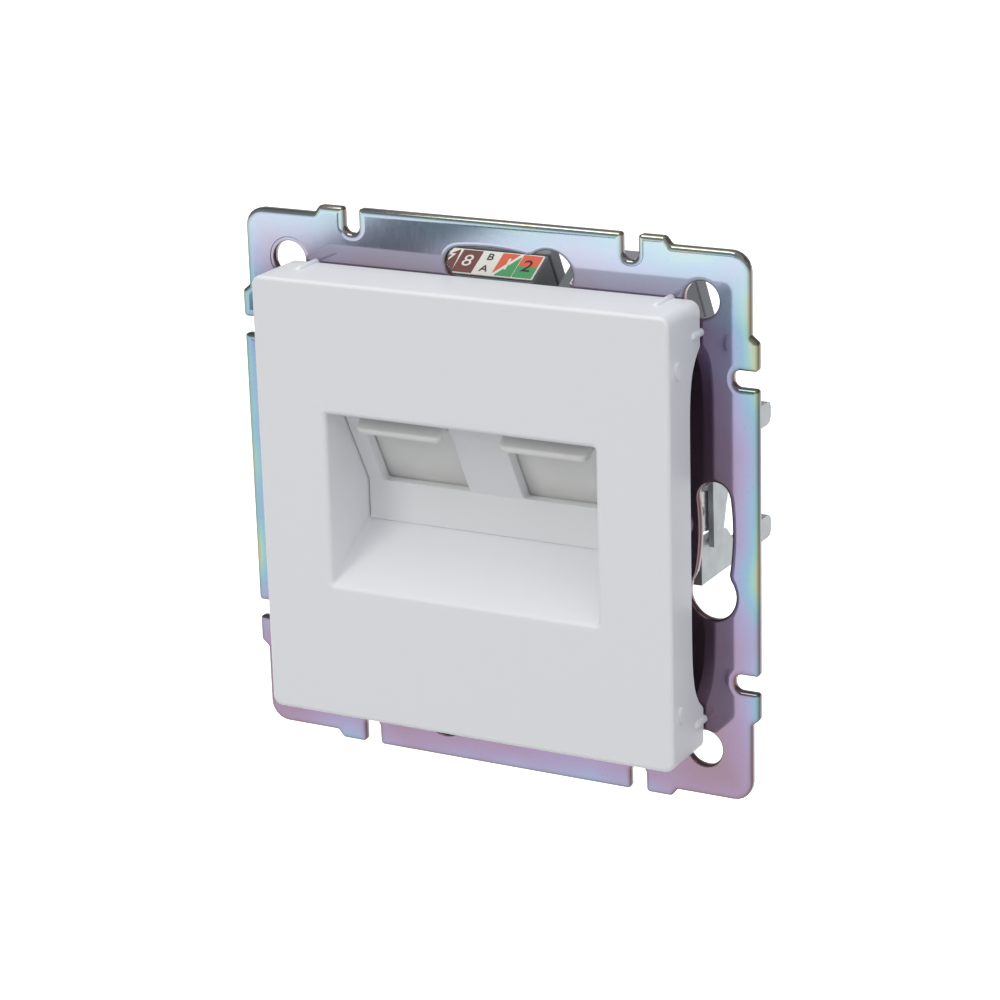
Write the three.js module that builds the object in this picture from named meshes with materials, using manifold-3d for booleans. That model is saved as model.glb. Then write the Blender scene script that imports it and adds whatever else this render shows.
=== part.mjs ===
// Double data outlet mechanism: a square steel mounting plate with spreading claws, a clip-in carrier that
// holds two sloping RJ45 jacks, and a square cover whose recess has one sprung shutter in front of each jack.
//
// Millimetres, +Z up, +X to the right of a person who faces the wall, +Y into the wall. The origin is the
// centre of the mounting plate's rear face, so Y = 0 is the wall.
import * as THREE from "three";
import { mergeVertices } from "three/addons/utils/BufferGeometryUtils.js";
import Module from "manifold-3d";

const wasm = await Module();
wasm.setup();

const GAP = 0.15;
const SIDES = [
  { name: "left", sign: -1 },
  { name: "right", sign: 1 },
];

// Mounting plate
const PLATE = {
  thickness: 1,
  tabHalf: 35.5,
  cornerHalf: 34.5,
  cornerRadius: 2.5,
  notchInner: 18,
  notchOuter: 20.2,
  notchBottom: 32.25,
  tabEnd: 23.6,
  stepEnd: 24.4,
  openingHalfX: 20.3,
  openingHalfZ: 22,
  openingRadius: 0.6,
};
const FIXING = {
  pitchRadius: 30,
  slotWidth: 4.2,
  slotStart: -7.5,
  slotEnd: 15.7,
  headRadius: 3.05,
  headPitchRadius: 30.6,
};
const CORNER_HOLE = { radius: 2.3, offset: 28.28 };

// Claws, their pivots and their screws
const CLAW = {
  pivotX: 21.4,
  pivotY: 4,
  pinRadius: 0.8,
  pinLength: 21.8,
  knuckleRadius: 1.5,
  boreRadius: 0.9,
  halfWidth: 9,
  sheet: 1,
  outerX: 26,
  tipY: 24.8,
  prongHeight: 3,
  webInnerZ: 3.4,
  webEndY: 9.5,
  forkInnerX: 22.5,
  forkHalf: 1.6,
};
const TONGUE = { front: 4.9, rear: 10.2, tipRear: 7.6, topZ: 4.6, tipZ: -4.4, innerX: 26.25, thickness: 0.7 };
const LUG = { innerX: 20.4, outerX: 23.2, depth: 6, thickness: 1, centreZ: 10.2 };
const SCREW = { x: 24.2, radius: 1.3, headRadius: 2.4, headHeight: 1.6, length: 17, holeRadius: 1.5 };
const NUT = { radius: 1.85, back: 1.2, halfLength: 2.6, boreRadius: 1.4 };

// Cover
const COVER = {
  half: 28.3,
  frontY: -10.2,
  rearY: -1.3,
  wall: 1.4,
  face: 1.6,
  cornerRadius: 1.3,
  edge: 0.6,
  ribRadius: 0.45,
  ribOffset: 24.5,
  ribFrontY: -5,
};
const SIDE_CUT = { y: -4, fullZ: 20.6, kneeZ: 21.9, kneeY: -3.2, endZ: 23 };
const LEG = { x: 12, z: 17.3, width: 4.4, thickness: 1.4, rearY: 0.8 };

// Recess, and the sloping frame of the ports: its origin is the fold where the slope meets the back wall
const RECESS = { halfX: 18.5, top: 11.5, wall: 1.4, floorRearZ: -4.85, floorSlope: 0.62, wallRearY: 1 };
const SLOPE = THREE.MathUtils.degToRad(28.3);
const FOLD = new THREE.Vector3(0, -0.45, 0.45);
const PORT_X = 10;
const INSERT = { halfX: RECESS.halfX - GAP, sheet: 1.5, topS: 14.2, ribInner: 17.3, ribDepth: 2.95 };
const WINDOW = { halfX: 6.25, bottomZ: 0.6, topZ: 11.35 };

// Shutters, in the sloping frame: n goes into the wall, s goes up the slope
const SHUTTER = { halfX: 7.1, front: 1.75, rear: 2.75, bottom: -1.2, top: 12.3 };
const LIP = { baseHalf: 6.05, edgeHalf: 5.5, front: -2.1, chamfer: 1, bottom: 10.3, top: 11.2 };
const EAR = { innerX: 0.6, bottom: 5.2, top: 6.2 };
const SPRING = { x: 1.55, n: 2.3, bottom: 6.55, top: 12.55, radius: 0.5, wire: 0.17, turns: 8 };
const RETAINER = {
  innerX: 0.4,
  front: 3.05,
  rear: 4.05,
  bottom: -11.3,
  top: 14.2,
  windowBottom: 1.4,
  windowTop: 11.8,
};

// Jacks, in the sloping frame
const JACK = { halfX: 8.2, front: 4.4, rear: 18, bottom: -3.4, top: 13 };
const PLUG = { halfX: 5.95, depth: 16.5, bottom: 2.3, top: 10.6, latchHalf: 3.1, latchBottom: 0.9 };
const CONTACT = {
  pitch: 1.02,
  count: 8,
  width: 0.5,
  front: 6.5,
  rear: 14.9,
  tip: 8.7,
  root: 10.2,
  thickness: 0.35,
};
const BOARD = { halfX: 8, front: 18.3, rear: 19.5, bottom: -3.2, top: 12.8 };
const BLOCK = { front: 19.8, rear: 29, bottom: -3, top: 14.1 };
const ROW = {
  lowS: 1.2,
  highS: 9.9,
  halfX: 7.3,
  halfS: 1.5,
  floor: 21.5,
  slots: 4,
  pitch: 3.6,
  slotWidth: 0.9,
};
const BLADE = { halfX: 6.9, halfS: 0.9, front: 21.8, base: 22.5, tip: 28, width: 0.6, mouth: 0.3 };
const LABEL = { halfX: 7.35, front: 22.3, rear: 27.2, thickness: 0.25 };
const CAP = { front: 29.3, rear: 31.6, wall: 1, roof: 1 };

// Carrier
const CARRIER = {
  halfX: 19.9,
  wall: 1.2,
  flangeZ: 24.6,
  flangeFront: -2.8,
  flangeRear: -1.1,
  bodyZ: 21.7,
  barTop: 15.3,
  barBottom: -13.5,
  collarFront: 8,
  collarRear: 15.5,
  collarBottom: -5.2,
  collarTop: 14.5,
  collarHole: 8.45,
  catchHalf: 4,
  catchZ: 22.7,
};

// ---- Shapes -------------------------------------------------------------------------------------------

// A closed geometry as a manifold-3d solid.
function solidOf(geometry) {
  const bare = geometry.clone();
  bare.deleteAttribute("normal");
  bare.deleteAttribute("uv");
  const merged = mergeVertices(bare, 1e-4);
  return new wasm.Manifold(
    new wasm.Mesh({
      numProp: 3,
      vertProperties: new Float32Array(merged.attributes.position.array),
      triVerts: new Uint32Array(merged.index.array),
    }),
  );
}

// A manifold-3d solid as a geometry.
function geometryOf(solid) {
  const mesh = solid.getMesh();
  const geometry = new THREE.BufferGeometry();
  geometry.setAttribute("position", new THREE.BufferAttribute(new Float32Array(mesh.vertProperties), 3));
  geometry.setIndex(new THREE.BufferAttribute(new Uint32Array(mesh.triVerts), 1));
  return geometry;
}

function join(...shapes) {
  return geometryOf(shapes.map(solidOf).reduce((sum, solid) => sum.add(solid)));
}

function cut(body, ...tools) {
  return geometryOf(tools.map(solidOf).reduce((left, tool) => left.subtract(tool), solidOf(body)));
}

// A box between two X, two Y and two Z values.
function box(x0, x1, y0, y1, z0, z1) {
  const geometry = new THREE.BoxGeometry(x1 - x0, y1 - y0, z1 - z0);
  return geometry.translate((x0 + x1) / 2, (y0 + y1) / 2, (z0 + z1) / 2);
}

// A box given in the sloping frame of the ports: x, then n into the wall, then s up the slope.
function slopeBox(x0, x1, n0, n1, s0, s1) {
  return tilt(box(x0, x1, n0, n1, s0, s1));
}

// Takes a geometry from the sloping frame of the ports to the part's frame.
function tilt(geometry) {
  return geometry.rotateX(SLOPE).translate(FOLD.x, FOLD.y, FOLD.z);
}

function shapeOf(points) {
  return new THREE.Shape(points.map(([a, b]) => new THREE.Vector2(a, b)));
}

// An outline in X and Z, extruded along Y.
function prismY(shape, y0, y1, curveSegments = 6) {
  const geometry = new THREE.ExtrudeGeometry(shape, { depth: y1 - y0, bevelEnabled: false, curveSegments });
  return geometry.rotateX(Math.PI / 2).translate(0, y1, 0);
}

// An outline in Y and Z, extruded along X.
function prismX(points, x0, x1) {
  const geometry = new THREE.ExtrudeGeometry(shapeOf(points), { depth: x1 - x0, bevelEnabled: false });
  const turn = new THREE.Matrix4().makeBasis(
    new THREE.Vector3(0, 1, 0),
    new THREE.Vector3(0, 0, 1),
    new THREE.Vector3(1, 0, 0),
  );
  return geometry.applyMatrix4(turn).translate(x0, 0, 0);
}

// An outline in X and Y, extruded along Z.
function prismZ(points, z0, z1) {
  const geometry = new THREE.ExtrudeGeometry(shapeOf(points), { depth: z1 - z0, bevelEnabled: false });
  return geometry.translate(0, 0, z0);
}

function rodY(radius, x, z, y0, y1, segments = 20) {
  return new THREE.CylinderGeometry(radius, radius, y1 - y0, segments).translate(x, (y0 + y1) / 2, z);
}

function rodZ(radius, x, y, z0, z1, segments = 16) {
  const geometry = new THREE.CylinderGeometry(radius, radius, z1 - z0, segments).rotateX(Math.PI / 2);
  return geometry.translate(x, y, (z0 + z1) / 2);
}

// A square outline with round corners, centred on the origin.
function roundedRectangle(halfA, halfB, radius) {
  const shape = new THREE.Shape();
  shape.moveTo(-halfA + radius, -halfB);
  shape.lineTo(halfA - radius, -halfB);
  shape.absarc(halfA - radius, -halfB + radius, radius, -Math.PI / 2, 0);
  shape.lineTo(halfA, halfB - radius);
  shape.absarc(halfA - radius, halfB - radius, radius, 0, Math.PI / 2);
  shape.lineTo(-halfA + radius, halfB);
  shape.absarc(-halfA + radius, halfB - radius, radius, Math.PI / 2, Math.PI);
  shape.lineTo(-halfA, -halfB + radius);
  shape.absarc(-halfA + radius, -halfB + radius, radius, Math.PI, 1.5 * Math.PI);
  return shape;
}

// Mirrors a geometry across X = 0 and turns its faces out again.
function mirrorX(geometry) {
  const mirrored = (geometry.index ? geometry.toNonIndexed() : geometry.clone()).scale(-1, 1, 1);
  const position = mirrored.attributes.position;
  const a = new THREE.Vector3();
  const b = new THREE.Vector3();
  for (let i = 0; i < position.count; i += 3) {
    a.fromBufferAttribute(position, i + 1);
    b.fromBufferAttribute(position, i + 2);
    position.setXYZ(i + 1, b.x, b.y, b.z);
    position.setXYZ(i + 2, a.x, a.y, a.z);
  }
  return mirrored;
}

function onSide(geometry, sign) {
  return sign < 0 ? mirrorX(geometry) : geometry;
}

// ---- Mounting plate -----------------------------------------------------------------------------------

// The plate's outline: four equal edges, each with two notches and two narrow tabs.
function plateOutline() {
  const p = PLATE;
  const arm = p.cornerHalf - p.cornerRadius;
  const edge = [
    [-p.stepEnd, p.cornerHalf],
    [-p.tabEnd, p.tabHalf],
    [-p.notchOuter, p.tabHalf],
    [-p.notchOuter, p.notchBottom],
    [-p.notchInner, p.notchBottom],
    [-p.notchInner, p.tabHalf],
    [p.notchInner, p.tabHalf],
    [p.notchInner, p.notchBottom],
    [p.notchOuter, p.notchBottom],
    [p.notchOuter, p.tabHalf],
    [p.tabEnd, p.tabHalf],
    [p.stepEnd, p.cornerHalf],
  ];
  const points = [];
  for (let quarter = 0; quarter < 4; quarter += 1) {
    const turn = (-quarter * Math.PI) / 2;
    const corner = [];
    for (let step = 0; step <= 4; step += 1) {
      const angle = Math.PI / 2 - (step * Math.PI) / 8;
      corner.push([arm + p.cornerRadius * Math.cos(angle), arm + p.cornerRadius * Math.sin(angle)]);
    }
    for (const [x, z] of [...edge, ...corner]) {
      points.push([x * Math.cos(turn) - z * Math.sin(turn), x * Math.sin(turn) + z * Math.cos(turn)]);
    }
  }
  return shapeOf(points.reverse());
}

// One fixing slot: an arc round the plate's centre that ends in a hole for the screw's head.
function fixingSlot(turn) {
  const f = FIXING;
  const half = f.slotWidth / 2;
  const at = (degrees) => Math.PI / 2 - THREE.MathUtils.degToRad(degrees);
  const start = at(f.slotStart);
  const end = at(f.slotEnd);
  const r = f.pitchRadius;
  const shape = new THREE.Shape();
  shape.absarc(0, 0, r + half, start, end, true);
  shape.absarc(0, 0, r - half, end, start, false);
  shape.absarc(r * Math.cos(start), r * Math.sin(start), half, start + Math.PI, start, true);
  const slot = prismY(shape, -2, 1);
  const headX = f.headPitchRadius * Math.cos(end);
  const headZ = f.headPitchRadius * Math.sin(end);
  return join(slot, rodY(f.headRadius, headX, headZ, -2, 1, 24)).rotateY(turn);
}

function clawLugs() {
  const lugs = [];
  for (const { sign } of SIDES) {
    for (const z of [-LUG.centreZ, LUG.centreZ]) {
      const half = LUG.thickness / 2;
      const blank = box(LUG.innerX, LUG.outerX, -0.2, LUG.depth, z - half, z + half);
      const bore = rodZ(CLAW.pinRadius + 0.05, CLAW.pivotX, CLAW.pivotY, z - 1, z + 1, 12);
      lugs.push(onSide(cut(blank, bore), sign));
    }
  }
  return lugs;
}

function mountingPlate() {
  const p = PLATE;
  const blank = prismY(plateOutline(), -p.thickness, 0);
  const opening = prismY(roundedRectangle(p.openingHalfX, p.openingHalfZ, p.openingRadius), -2, 1, 4);
  const tools = [opening];
  for (let quarter = 0; quarter < 4; quarter += 1) {
    tools.push(fixingSlot((quarter * Math.PI) / 2));
  }
  for (const x of [-CORNER_HOLE.offset, CORNER_HOLE.offset]) {
    for (const z of [-CORNER_HOLE.offset, CORNER_HOLE.offset]) {
      tools.push(rodY(CORNER_HOLE.radius, x, z, -2, 1));
    }
  }
  for (const { sign } of SIDES) {
    tools.push(rodY(SCREW.holeRadius, sign * SCREW.x, 0, -2, 1, 16));
  }
  return join(cut(blank, ...tools), ...clawLugs());
}

// ---- Claws --------------------------------------------------------------------------------------------

// The claw's side sheet: a root across the plate's edge that runs out into two prongs with round ends.
function clawSheet() {
  const c = CLAW;
  const sheet = [];
  for (const sign of [-1, 1]) {
    const inner = c.halfWidth - c.prongHeight;
    const outline = [
      [c.pivotY - c.sheet / 2, c.webInnerZ],
      [c.webEndY, c.webInnerZ],
      [c.webEndY + 1.6, c.webInnerZ + 0.5],
      [c.webEndY + 3.2, inner - 0.4],
      [c.webEndY + 4.6, inner],
      [c.tipY - 0.9, inner],
      [c.tipY - 0.2, inner + 0.4],
      [c.tipY, inner + 1],
      [c.tipY, c.halfWidth - 0.8],
      [c.tipY - 0.3, c.halfWidth - 0.2],
      [c.tipY - 1, c.halfWidth],
      [c.pivotY - c.sheet / 2, c.halfWidth],
    ].map(([y, z]) => [y, sign * z]);
    sheet.push(prismX(sign > 0 ? outline.reverse() : outline, c.outerX - c.sheet, c.outerX));
  }
  return sheet;
}

// The bent foot between the pivot and the side sheet, with a fork that the screw passes.
function clawFoot() {
  const c = CLAW;
  const y0 = c.pivotY - c.sheet / 2;
  const y1 = c.pivotY + c.sheet / 2;
  const leaves = [];
  for (const sign of [-1, 1]) {
    const wide = [sign * c.webInnerZ, sign * c.halfWidth].sort((a, b) => a - b);
    const knuckle = rodZ(c.knuckleRadius, c.pivotX, c.pivotY, wide[0], wide[1]);
    leaves.push(join(box(c.pivotX, c.outerX - 0.4, y0, y1, wide[0], wide[1]), knuckle));
  }
  const bridge = box(c.forkInnerX - 0.6, c.outerX - 0.6, y0, y1, -c.webInnerZ - 0.1, c.webInnerZ + 0.1);
  const fork = box(c.forkInnerX, c.outerX + 1, y0 - 1, y1 + 1, -c.forkHalf, c.forkHalf);
  return join(cut(bridge, fork), ...leaves);
}

// A tapered tongue, folded out from the upper prong's root, that hangs down outside the nut.
function clawTongue() {
  const t = TONGUE;
  const outline = [
    [t.front, t.topZ],
    [t.front + 0.2, t.tipZ],
    [t.tipRear, t.tipZ],
    [t.rear, t.topZ],
  ];
  const fold = box(CLAW.outerX - 0.5, t.innerX + 0.3, t.front, t.rear - 0.4, t.topZ - 0.8, t.topZ);
  return join(prismX(outline, t.innerX, t.innerX + t.thickness), fold);
}

function claw() {
  const bore = rodZ(CLAW.boreRadius, CLAW.pivotX, CLAW.pivotY, -12, 12);
  return cut(join(clawFoot(), ...clawSheet(), clawTongue()), bore);
}

function clawPin() {
  return rodZ(CLAW.pinRadius, CLAW.pivotX, CLAW.pivotY, -CLAW.pinLength / 2, CLAW.pinLength / 2, 12);
}

function clawScrew() {
  const seat = -PLATE.thickness - 0.1;
  const head = rodY(SCREW.headRadius, SCREW.x, 0, seat - SCREW.headHeight, seat, 20);
  const shank = rodY(SCREW.radius, SCREW.x, 0, seat - 0.2, seat + SCREW.length, 12);
  const slots = [
    box(SCREW.x - 1.7, SCREW.x + 1.7, seat - 3, seat - 0.8, -0.35, 0.35),
    box(SCREW.x - 0.35, SCREW.x + 0.35, seat - 3, seat - 0.8, -1.7, 1.7),
  ];
  return cut(join(head, shank), ...slots);
}

// A barrel nut that rolls on the claw's foot as the claw tilts.
function clawNut() {
  const centre = CLAW.pivotY + CLAW.sheet / 2 + NUT.radius + 0.1;
  const barrel = rodZ(NUT.radius, SCREW.x, centre, -NUT.halfLength, NUT.halfLength, 20);
  const back = box(
    SCREW.x - NUT.radius,
    SCREW.x + NUT.radius,
    centre,
    centre + NUT.back,
    -NUT.halfLength,
    NUT.halfLength,
  );
  return cut(join(barrel, back), rodY(NUT.boreRadius, SCREW.x, 0, centre - 4, centre + 4, 16));
}

// ---- Cover --------------------------------------------------------------------------------------------

// Height of the recess floor at a depth.
function floorZ(y) {
  return RECESS.floorRearZ + (y - FOLD.y) * RECESS.floorSlope;
}

// Depth of the sloping port face at a height.
function slopeY(z) {
  return FOLD.y - (z - FOLD.z) * Math.tan(SLOPE);
}

// The hollow between the recess walls, from in front of the cover to behind the port insert.
function recessHollow() {
  const r = RECESS;
  const outline = [
    [COVER.frontY - 1, floorZ(COVER.frontY - 1)],
    [FOLD.y, floorZ(FOLD.y)],
    [r.wallRearY + 1, floorZ(FOLD.y)],
    [r.wallRearY + 1, r.top + 3],
    [slopeY(r.top + 3) - GAP, r.top + 3],
    [slopeY(r.top) - GAP, r.top],
    [COVER.frontY - 1, r.top],
  ];
  return prismX(outline, -r.halfX, r.halfX);
}

// The recess walls before the hollow is cut: floor, ceiling and two sides, one wall thicker all round.
function recessBlock() {
  const r = RECESS;
  const rearBottom = floorZ(FOLD.y) - r.wall;
  const outline = [
    [COVER.frontY + 0.5, floorZ(COVER.frontY) - r.wall],
    [FOLD.y, rearBottom],
    [r.wallRearY, rearBottom],
    [r.wallRearY, FOLD.z + 1],
    [slopeY(r.top) + 1.2, r.top + r.wall],
    [COVER.frontY + 0.5, r.top + r.wall],
  ];
  return prismX(outline, -r.halfX - r.wall, r.halfX + r.wall);
}

// The square shell, with its front edges eased and its rear left open.
function coverShell() {
  const c = COVER;
  const depth = c.rearY + 3 - c.frontY - 2 * c.edge;
  const outer = new THREE.ExtrudeGeometry(roundedRectangle(c.half, c.half, c.cornerRadius), {
    depth,
    curveSegments: 3,
    bevelThickness: c.edge,
    bevelSize: c.edge,
    bevelOffset: -c.edge,
    bevelSegments: 2,
  });
  outer.rotateX(Math.PI / 2).translate(0, c.frontY + c.edge + depth, 0);
  const inner = c.half - c.wall;
  const hollow = box(-inner, inner, c.frontY + c.face, 9, -inner, inner);
  return cut(outer, hollow, box(-40, 40, c.rearY, 20, -40, 40));
}

// Both side walls are lower between their corners, with curved ends.
function sideCuts() {
  const s = SIDE_CUT;
  const half = [
    [1, s.endZ + 0.3],
    [COVER.rearY, s.endZ],
    [(s.kneeY + COVER.rearY) / 2, s.kneeZ + 0.8],
    [s.kneeY, s.kneeZ],
    [s.y, s.fullZ],
  ];
  const outline = [...half, ...half.map(([y, z]) => [y, -z]).reverse()];
  const inner = COVER.half - COVER.wall - 0.2;
  return [prismX(outline, -40, -inner), prismX(outline, inner, 40)];
}

// Small round ribs that steady the cover in its outer frame, two on each side near the corners.
function coverRibs() {
  const c = COVER;
  const ribs = [];
  for (const along of [-c.ribOffset, c.ribOffset]) {
    for (const side of [-c.half, c.half]) {
      ribs.push(rodY(c.ribRadius, side, along, c.ribFrontY, c.rearY, 8));
      ribs.push(rodY(c.ribRadius, along, side, c.ribFrontY, c.rearY, 8));
    }
  }
  return ribs;
}

function coverLegs() {
  const legs = [];
  for (const x of [-LEG.x, LEG.x]) {
    for (const z of [-LEG.z, LEG.z]) {
      const halfX = LEG.width / 2;
      const halfZ = LEG.thickness / 2;
      legs.push(box(x - halfX, x + halfX, COVER.frontY + 1, LEG.rearY, z - halfZ, z + halfZ));
    }
  }
  return legs;
}

function cover() {
  const walls = cut(join(coverShell(), ...coverRibs()), ...sideCuts());
  return cut(join(walls, recessBlock(), ...coverLegs()), recessHollow());
}

// ---- Port insert, shutters and springs ----------------------------------------------------------------

function portInsert() {
  const i = INSERT;
  const slope = slopeBox(-i.halfX, i.halfX, 0, i.sheet, 0, i.topS);
  const back = prismX(
    [
      [FOLD.y, RECESS.floorRearZ + GAP],
      [RECESS.wallRearY, RECESS.floorRearZ + GAP],
      [RECESS.wallRearY, FOLD.z + 0.6],
      [FOLD.y + 0.9, FOLD.z + 0.9],
      [FOLD.y, FOLD.z + 0.1],
    ],
    -i.halfX,
    i.halfX,
  );
  const ribs = [];
  const posts = [];
  const windows = [];
  for (const { sign } of SIDES) {
    ribs.push(onSide(slopeBox(i.ribInner, i.halfX, i.sheet - 0.2, i.ribDepth, 0.5, i.topS), sign));
    const hook = SPRING.top + 0.35;
    const post = slopeBox(SPRING.x - 0.5, SPRING.x + 0.5, i.sheet - 0.2, i.ribDepth, hook, i.topS);
    posts.push(onSide(post, sign));
    const x0 = sign * PORT_X - WINDOW.halfX;
    windows.push(box(x0, x0 + 2 * WINDOW.halfX, -12, 1.5, WINDOW.bottomZ, WINDOW.topZ));
  }
  const sheet = cut(join(slope, back), ...windows);
  return join(sheet, ...ribs, ...posts);
}

function shutter() {
  const s = SHUTTER;
  const panel = slopeBox(PORT_X - s.halfX, PORT_X + s.halfX, s.front, s.rear, s.bottom, s.top);
  const lipOutline = [
    [PORT_X - LIP.baseHalf, s.front + 0.2],
    [PORT_X - LIP.baseHalf, LIP.front + LIP.chamfer],
    [PORT_X - LIP.edgeHalf, LIP.front],
    [PORT_X + LIP.edgeHalf, LIP.front],
    [PORT_X + LIP.baseHalf, LIP.front + LIP.chamfer],
    [PORT_X + LIP.baseHalf, s.front + 0.2],
  ];
  const lip = tilt(prismZ(lipOutline, LIP.bottom, LIP.top));
  const ear = slopeBox(EAR.innerX, PORT_X - s.halfX + 0.2, s.front, s.rear, EAR.bottom, EAR.top);
  return join(panel, lip, ear);
}

// A helix as a curve, with a straight stretch at neither end.
class Helix extends THREE.Curve {
  getPoint(t, target = new THREE.Vector3()) {
    const angle = 2 * Math.PI * SPRING.turns * t;
    return target.set(
      SPRING.radius * Math.cos(angle),
      SPRING.radius * Math.sin(angle),
      (SPRING.top - SPRING.bottom) * t,
    );
  }
}

function shutterSpring() {
  const ring = [];
  for (let side = 0; side < 5; side += 1) {
    const angle = (2 * Math.PI * side) / 5;
    ring.push([SPRING.wire * Math.cos(angle), SPRING.wire * Math.sin(angle)]);
  }
  const coil = new THREE.ExtrudeGeometry(shapeOf(ring), {
    steps: SPRING.turns * 8,
    bevelEnabled: false,
    extrudePath: new Helix(),
  });
  return tilt(coil.translate(SPRING.x, SPRING.n, SPRING.bottom));
}

function shutterRetainer() {
  const r = RETAINER;
  const plate = slopeBox(r.innerX, INSERT.halfX, r.front, r.rear, r.bottom, r.top);
  const x0 = PORT_X - WINDOW.halfX;
  const window = slopeBox(x0, x0 + 2 * WINDOW.halfX, r.front - 1, r.rear + 1, r.windowBottom, r.windowTop);
  return cut(plate, window);
}

// ---- Jacks --------------------------------------------------------------------------------------------

function jackHousing() {
  const j = JACK;
  const p = PLUG;
  const body = slopeBox(-j.halfX, j.halfX, j.front, j.rear, j.bottom, j.top);
  const mouth = slopeBox(-p.halfX, p.halfX, j.front - 1, p.depth, p.bottom, p.top);
  const latch = slopeBox(-p.latchHalf, p.latchHalf, j.front - 1, p.depth - 4, p.latchBottom, p.top);
  return cut(body, mouth, latch);
}

// Eight sprung wires on one strip, above the plug.
function contactSet() {
  const c = CONTACT;
  const half = (c.count * c.pitch) / 2;
  const pieces = [slopeBox(-half, half, c.rear - 0.2, PLUG.depth - 0.3, c.root - 0.5, c.root)];
  for (let i = 0; i < c.count; i += 1) {
    const x = (i - (c.count - 1) / 2) * c.pitch - c.width / 2;
    const outline = [
      [c.front, c.tip],
      [c.rear, c.root - 0.45],
      [c.rear, c.root - 0.45 + c.thickness],
      [c.front, c.tip + c.thickness],
    ];
    pieces.push(tilt(prismX(outline, x, x + c.width)));
  }
  return join(...pieces);
}

function circuitBoard() {
  return slopeBox(-BOARD.halfX, BOARD.halfX, BOARD.front, BOARD.rear, BOARD.bottom, BOARD.top);
}

// The block that takes the wires: two open channels, crossed by the slots that each wire is pressed into.
function terminalBlock() {
  const j = JACK;
  const body = slopeBox(-j.halfX, j.halfX, BLOCK.front, BLOCK.rear, BLOCK.bottom, BLOCK.top);
  const tools = [];
  for (const s of [ROW.lowS, ROW.highS]) {
    tools.push(slopeBox(-ROW.halfX, ROW.halfX, ROW.floor, BLOCK.rear + 1, s - ROW.halfS, s + ROW.halfS));
    const outward = s === ROW.lowS ? [BLOCK.bottom - 1, s] : [s, BLOCK.top + 1];
    for (let i = 0; i < ROW.slots; i += 1) {
      const x = (i - (ROW.slots - 1) / 2) * ROW.pitch;
      const half = ROW.slotWidth / 2;
      tools.push(slopeBox(x - half, x + half, LABEL.rear + 0.3, BLOCK.rear + 1, ...outward));
    }
  }
  return cut(body, ...tools);
}

// One row of forked blades on a common strip.
function terminalBlades(s) {
  const b = BLADE;
  const pieces = [slopeBox(-b.halfX, b.halfX, b.front, b.base, s - b.halfS, s + b.halfS)];
  for (let i = 0; i < ROW.slots; i += 1) {
    const x = (i - (ROW.slots - 1) / 2) * ROW.pitch;
    for (const side of [-1, 1]) {
      const inner = x + side * b.mouth;
      const outer = inner + side * b.width;
      pieces.push(
        slopeBox(Math.min(inner, outer), Math.max(inner, outer), b.base - 0.2, b.tip, s - 0.3, s + 0.3),
      );
    }
  }
  return join(...pieces);
}

function wiringLabel() {
  const top = BLOCK.top + GAP / 2;
  return slopeBox(-LABEL.halfX, LABEL.halfX, LABEL.front, LABEL.rear, top, top + LABEL.thickness);
}

// A shallow cap that keeps dust off the terminals and the wires in their slots.
function wireCap() {
  const c = CAP;
  const body = slopeBox(-JACK.halfX, JACK.halfX, c.front, c.rear, BLOCK.bottom, BLOCK.top);
  const hollow = slopeBox(
    -JACK.halfX + c.wall,
    JACK.halfX - c.wall,
    c.front - 1,
    c.rear - c.roof,
    BLOCK.bottom + c.wall,
    BLOCK.top - c.wall,
  );
  return cut(body, hollow);
}

// ---- Carrier ------------------------------------------------------------------------------------------

function carrierCollar() {
  const c = CARRIER;
  const block = slopeBox(-c.halfX, c.halfX, c.collarFront, c.collarRear, c.collarBottom, c.collarTop);
  const pockets = SIDES.map(({ sign }) => {
    const x = sign * PORT_X;
    return slopeBox(
      x - c.collarHole,
      x + c.collarHole,
      c.collarFront - 1,
      c.collarRear + 1,
      JACK.bottom - 0.25,
      JACK.top + 0.25,
    );
  });
  return cut(block, ...pockets);
}

// The side plates that join the front bars to the collar, outside the jacks.
function carrierCheeks() {
  const c = CARRIER;
  const outline = [
    [c.flangeRear - 0.2, c.bodyZ],
    [c.flangeRear - 0.2, c.barTop],
    [1.4, c.barTop],
    [1.4, -8],
    [c.flangeRear - 0.2, c.barBottom + 3],
    [c.flangeRear - 0.2, -c.bodyZ],
    [3, -c.bodyZ],
    [12, -7],
    [13.5, 19],
    [9, c.bodyZ],
  ];
  return [
    prismX(outline, c.halfX - c.wall, c.halfX),
    prismX(outline, -c.halfX, -c.halfX + c.wall),
  ];
}

// Front bars over and under the recess, each with a catch behind the plate.
function carrierBars() {
  const c = CARRIER;
  const bars = [
    box(-c.halfX, c.halfX, c.flangeFront, c.flangeRear, c.barTop, c.flangeZ),
    box(-c.halfX, c.halfX, c.flangeFront, c.flangeRear, -c.flangeZ, c.barBottom),
    box(-c.halfX, c.halfX, c.flangeRear - 0.2, 3, c.bodyZ - c.wall, c.bodyZ),
    box(-c.halfX, c.halfX, c.flangeRear - 0.2, 3, -c.bodyZ, -c.bodyZ + c.wall),
  ];
  for (const sign of [-1, 1]) {
    const outline = [
      [0.2, sign * (c.bodyZ - 0.2)],
      [0.2, sign * c.catchZ],
      [1, sign * c.catchZ],
      [2.8, sign * (c.bodyZ - 0.2)],
    ];
    bars.push(prismX(sign > 0 ? outline.reverse() : outline, -c.catchHalf, c.catchHalf));
  }
  return bars;
}

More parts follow.
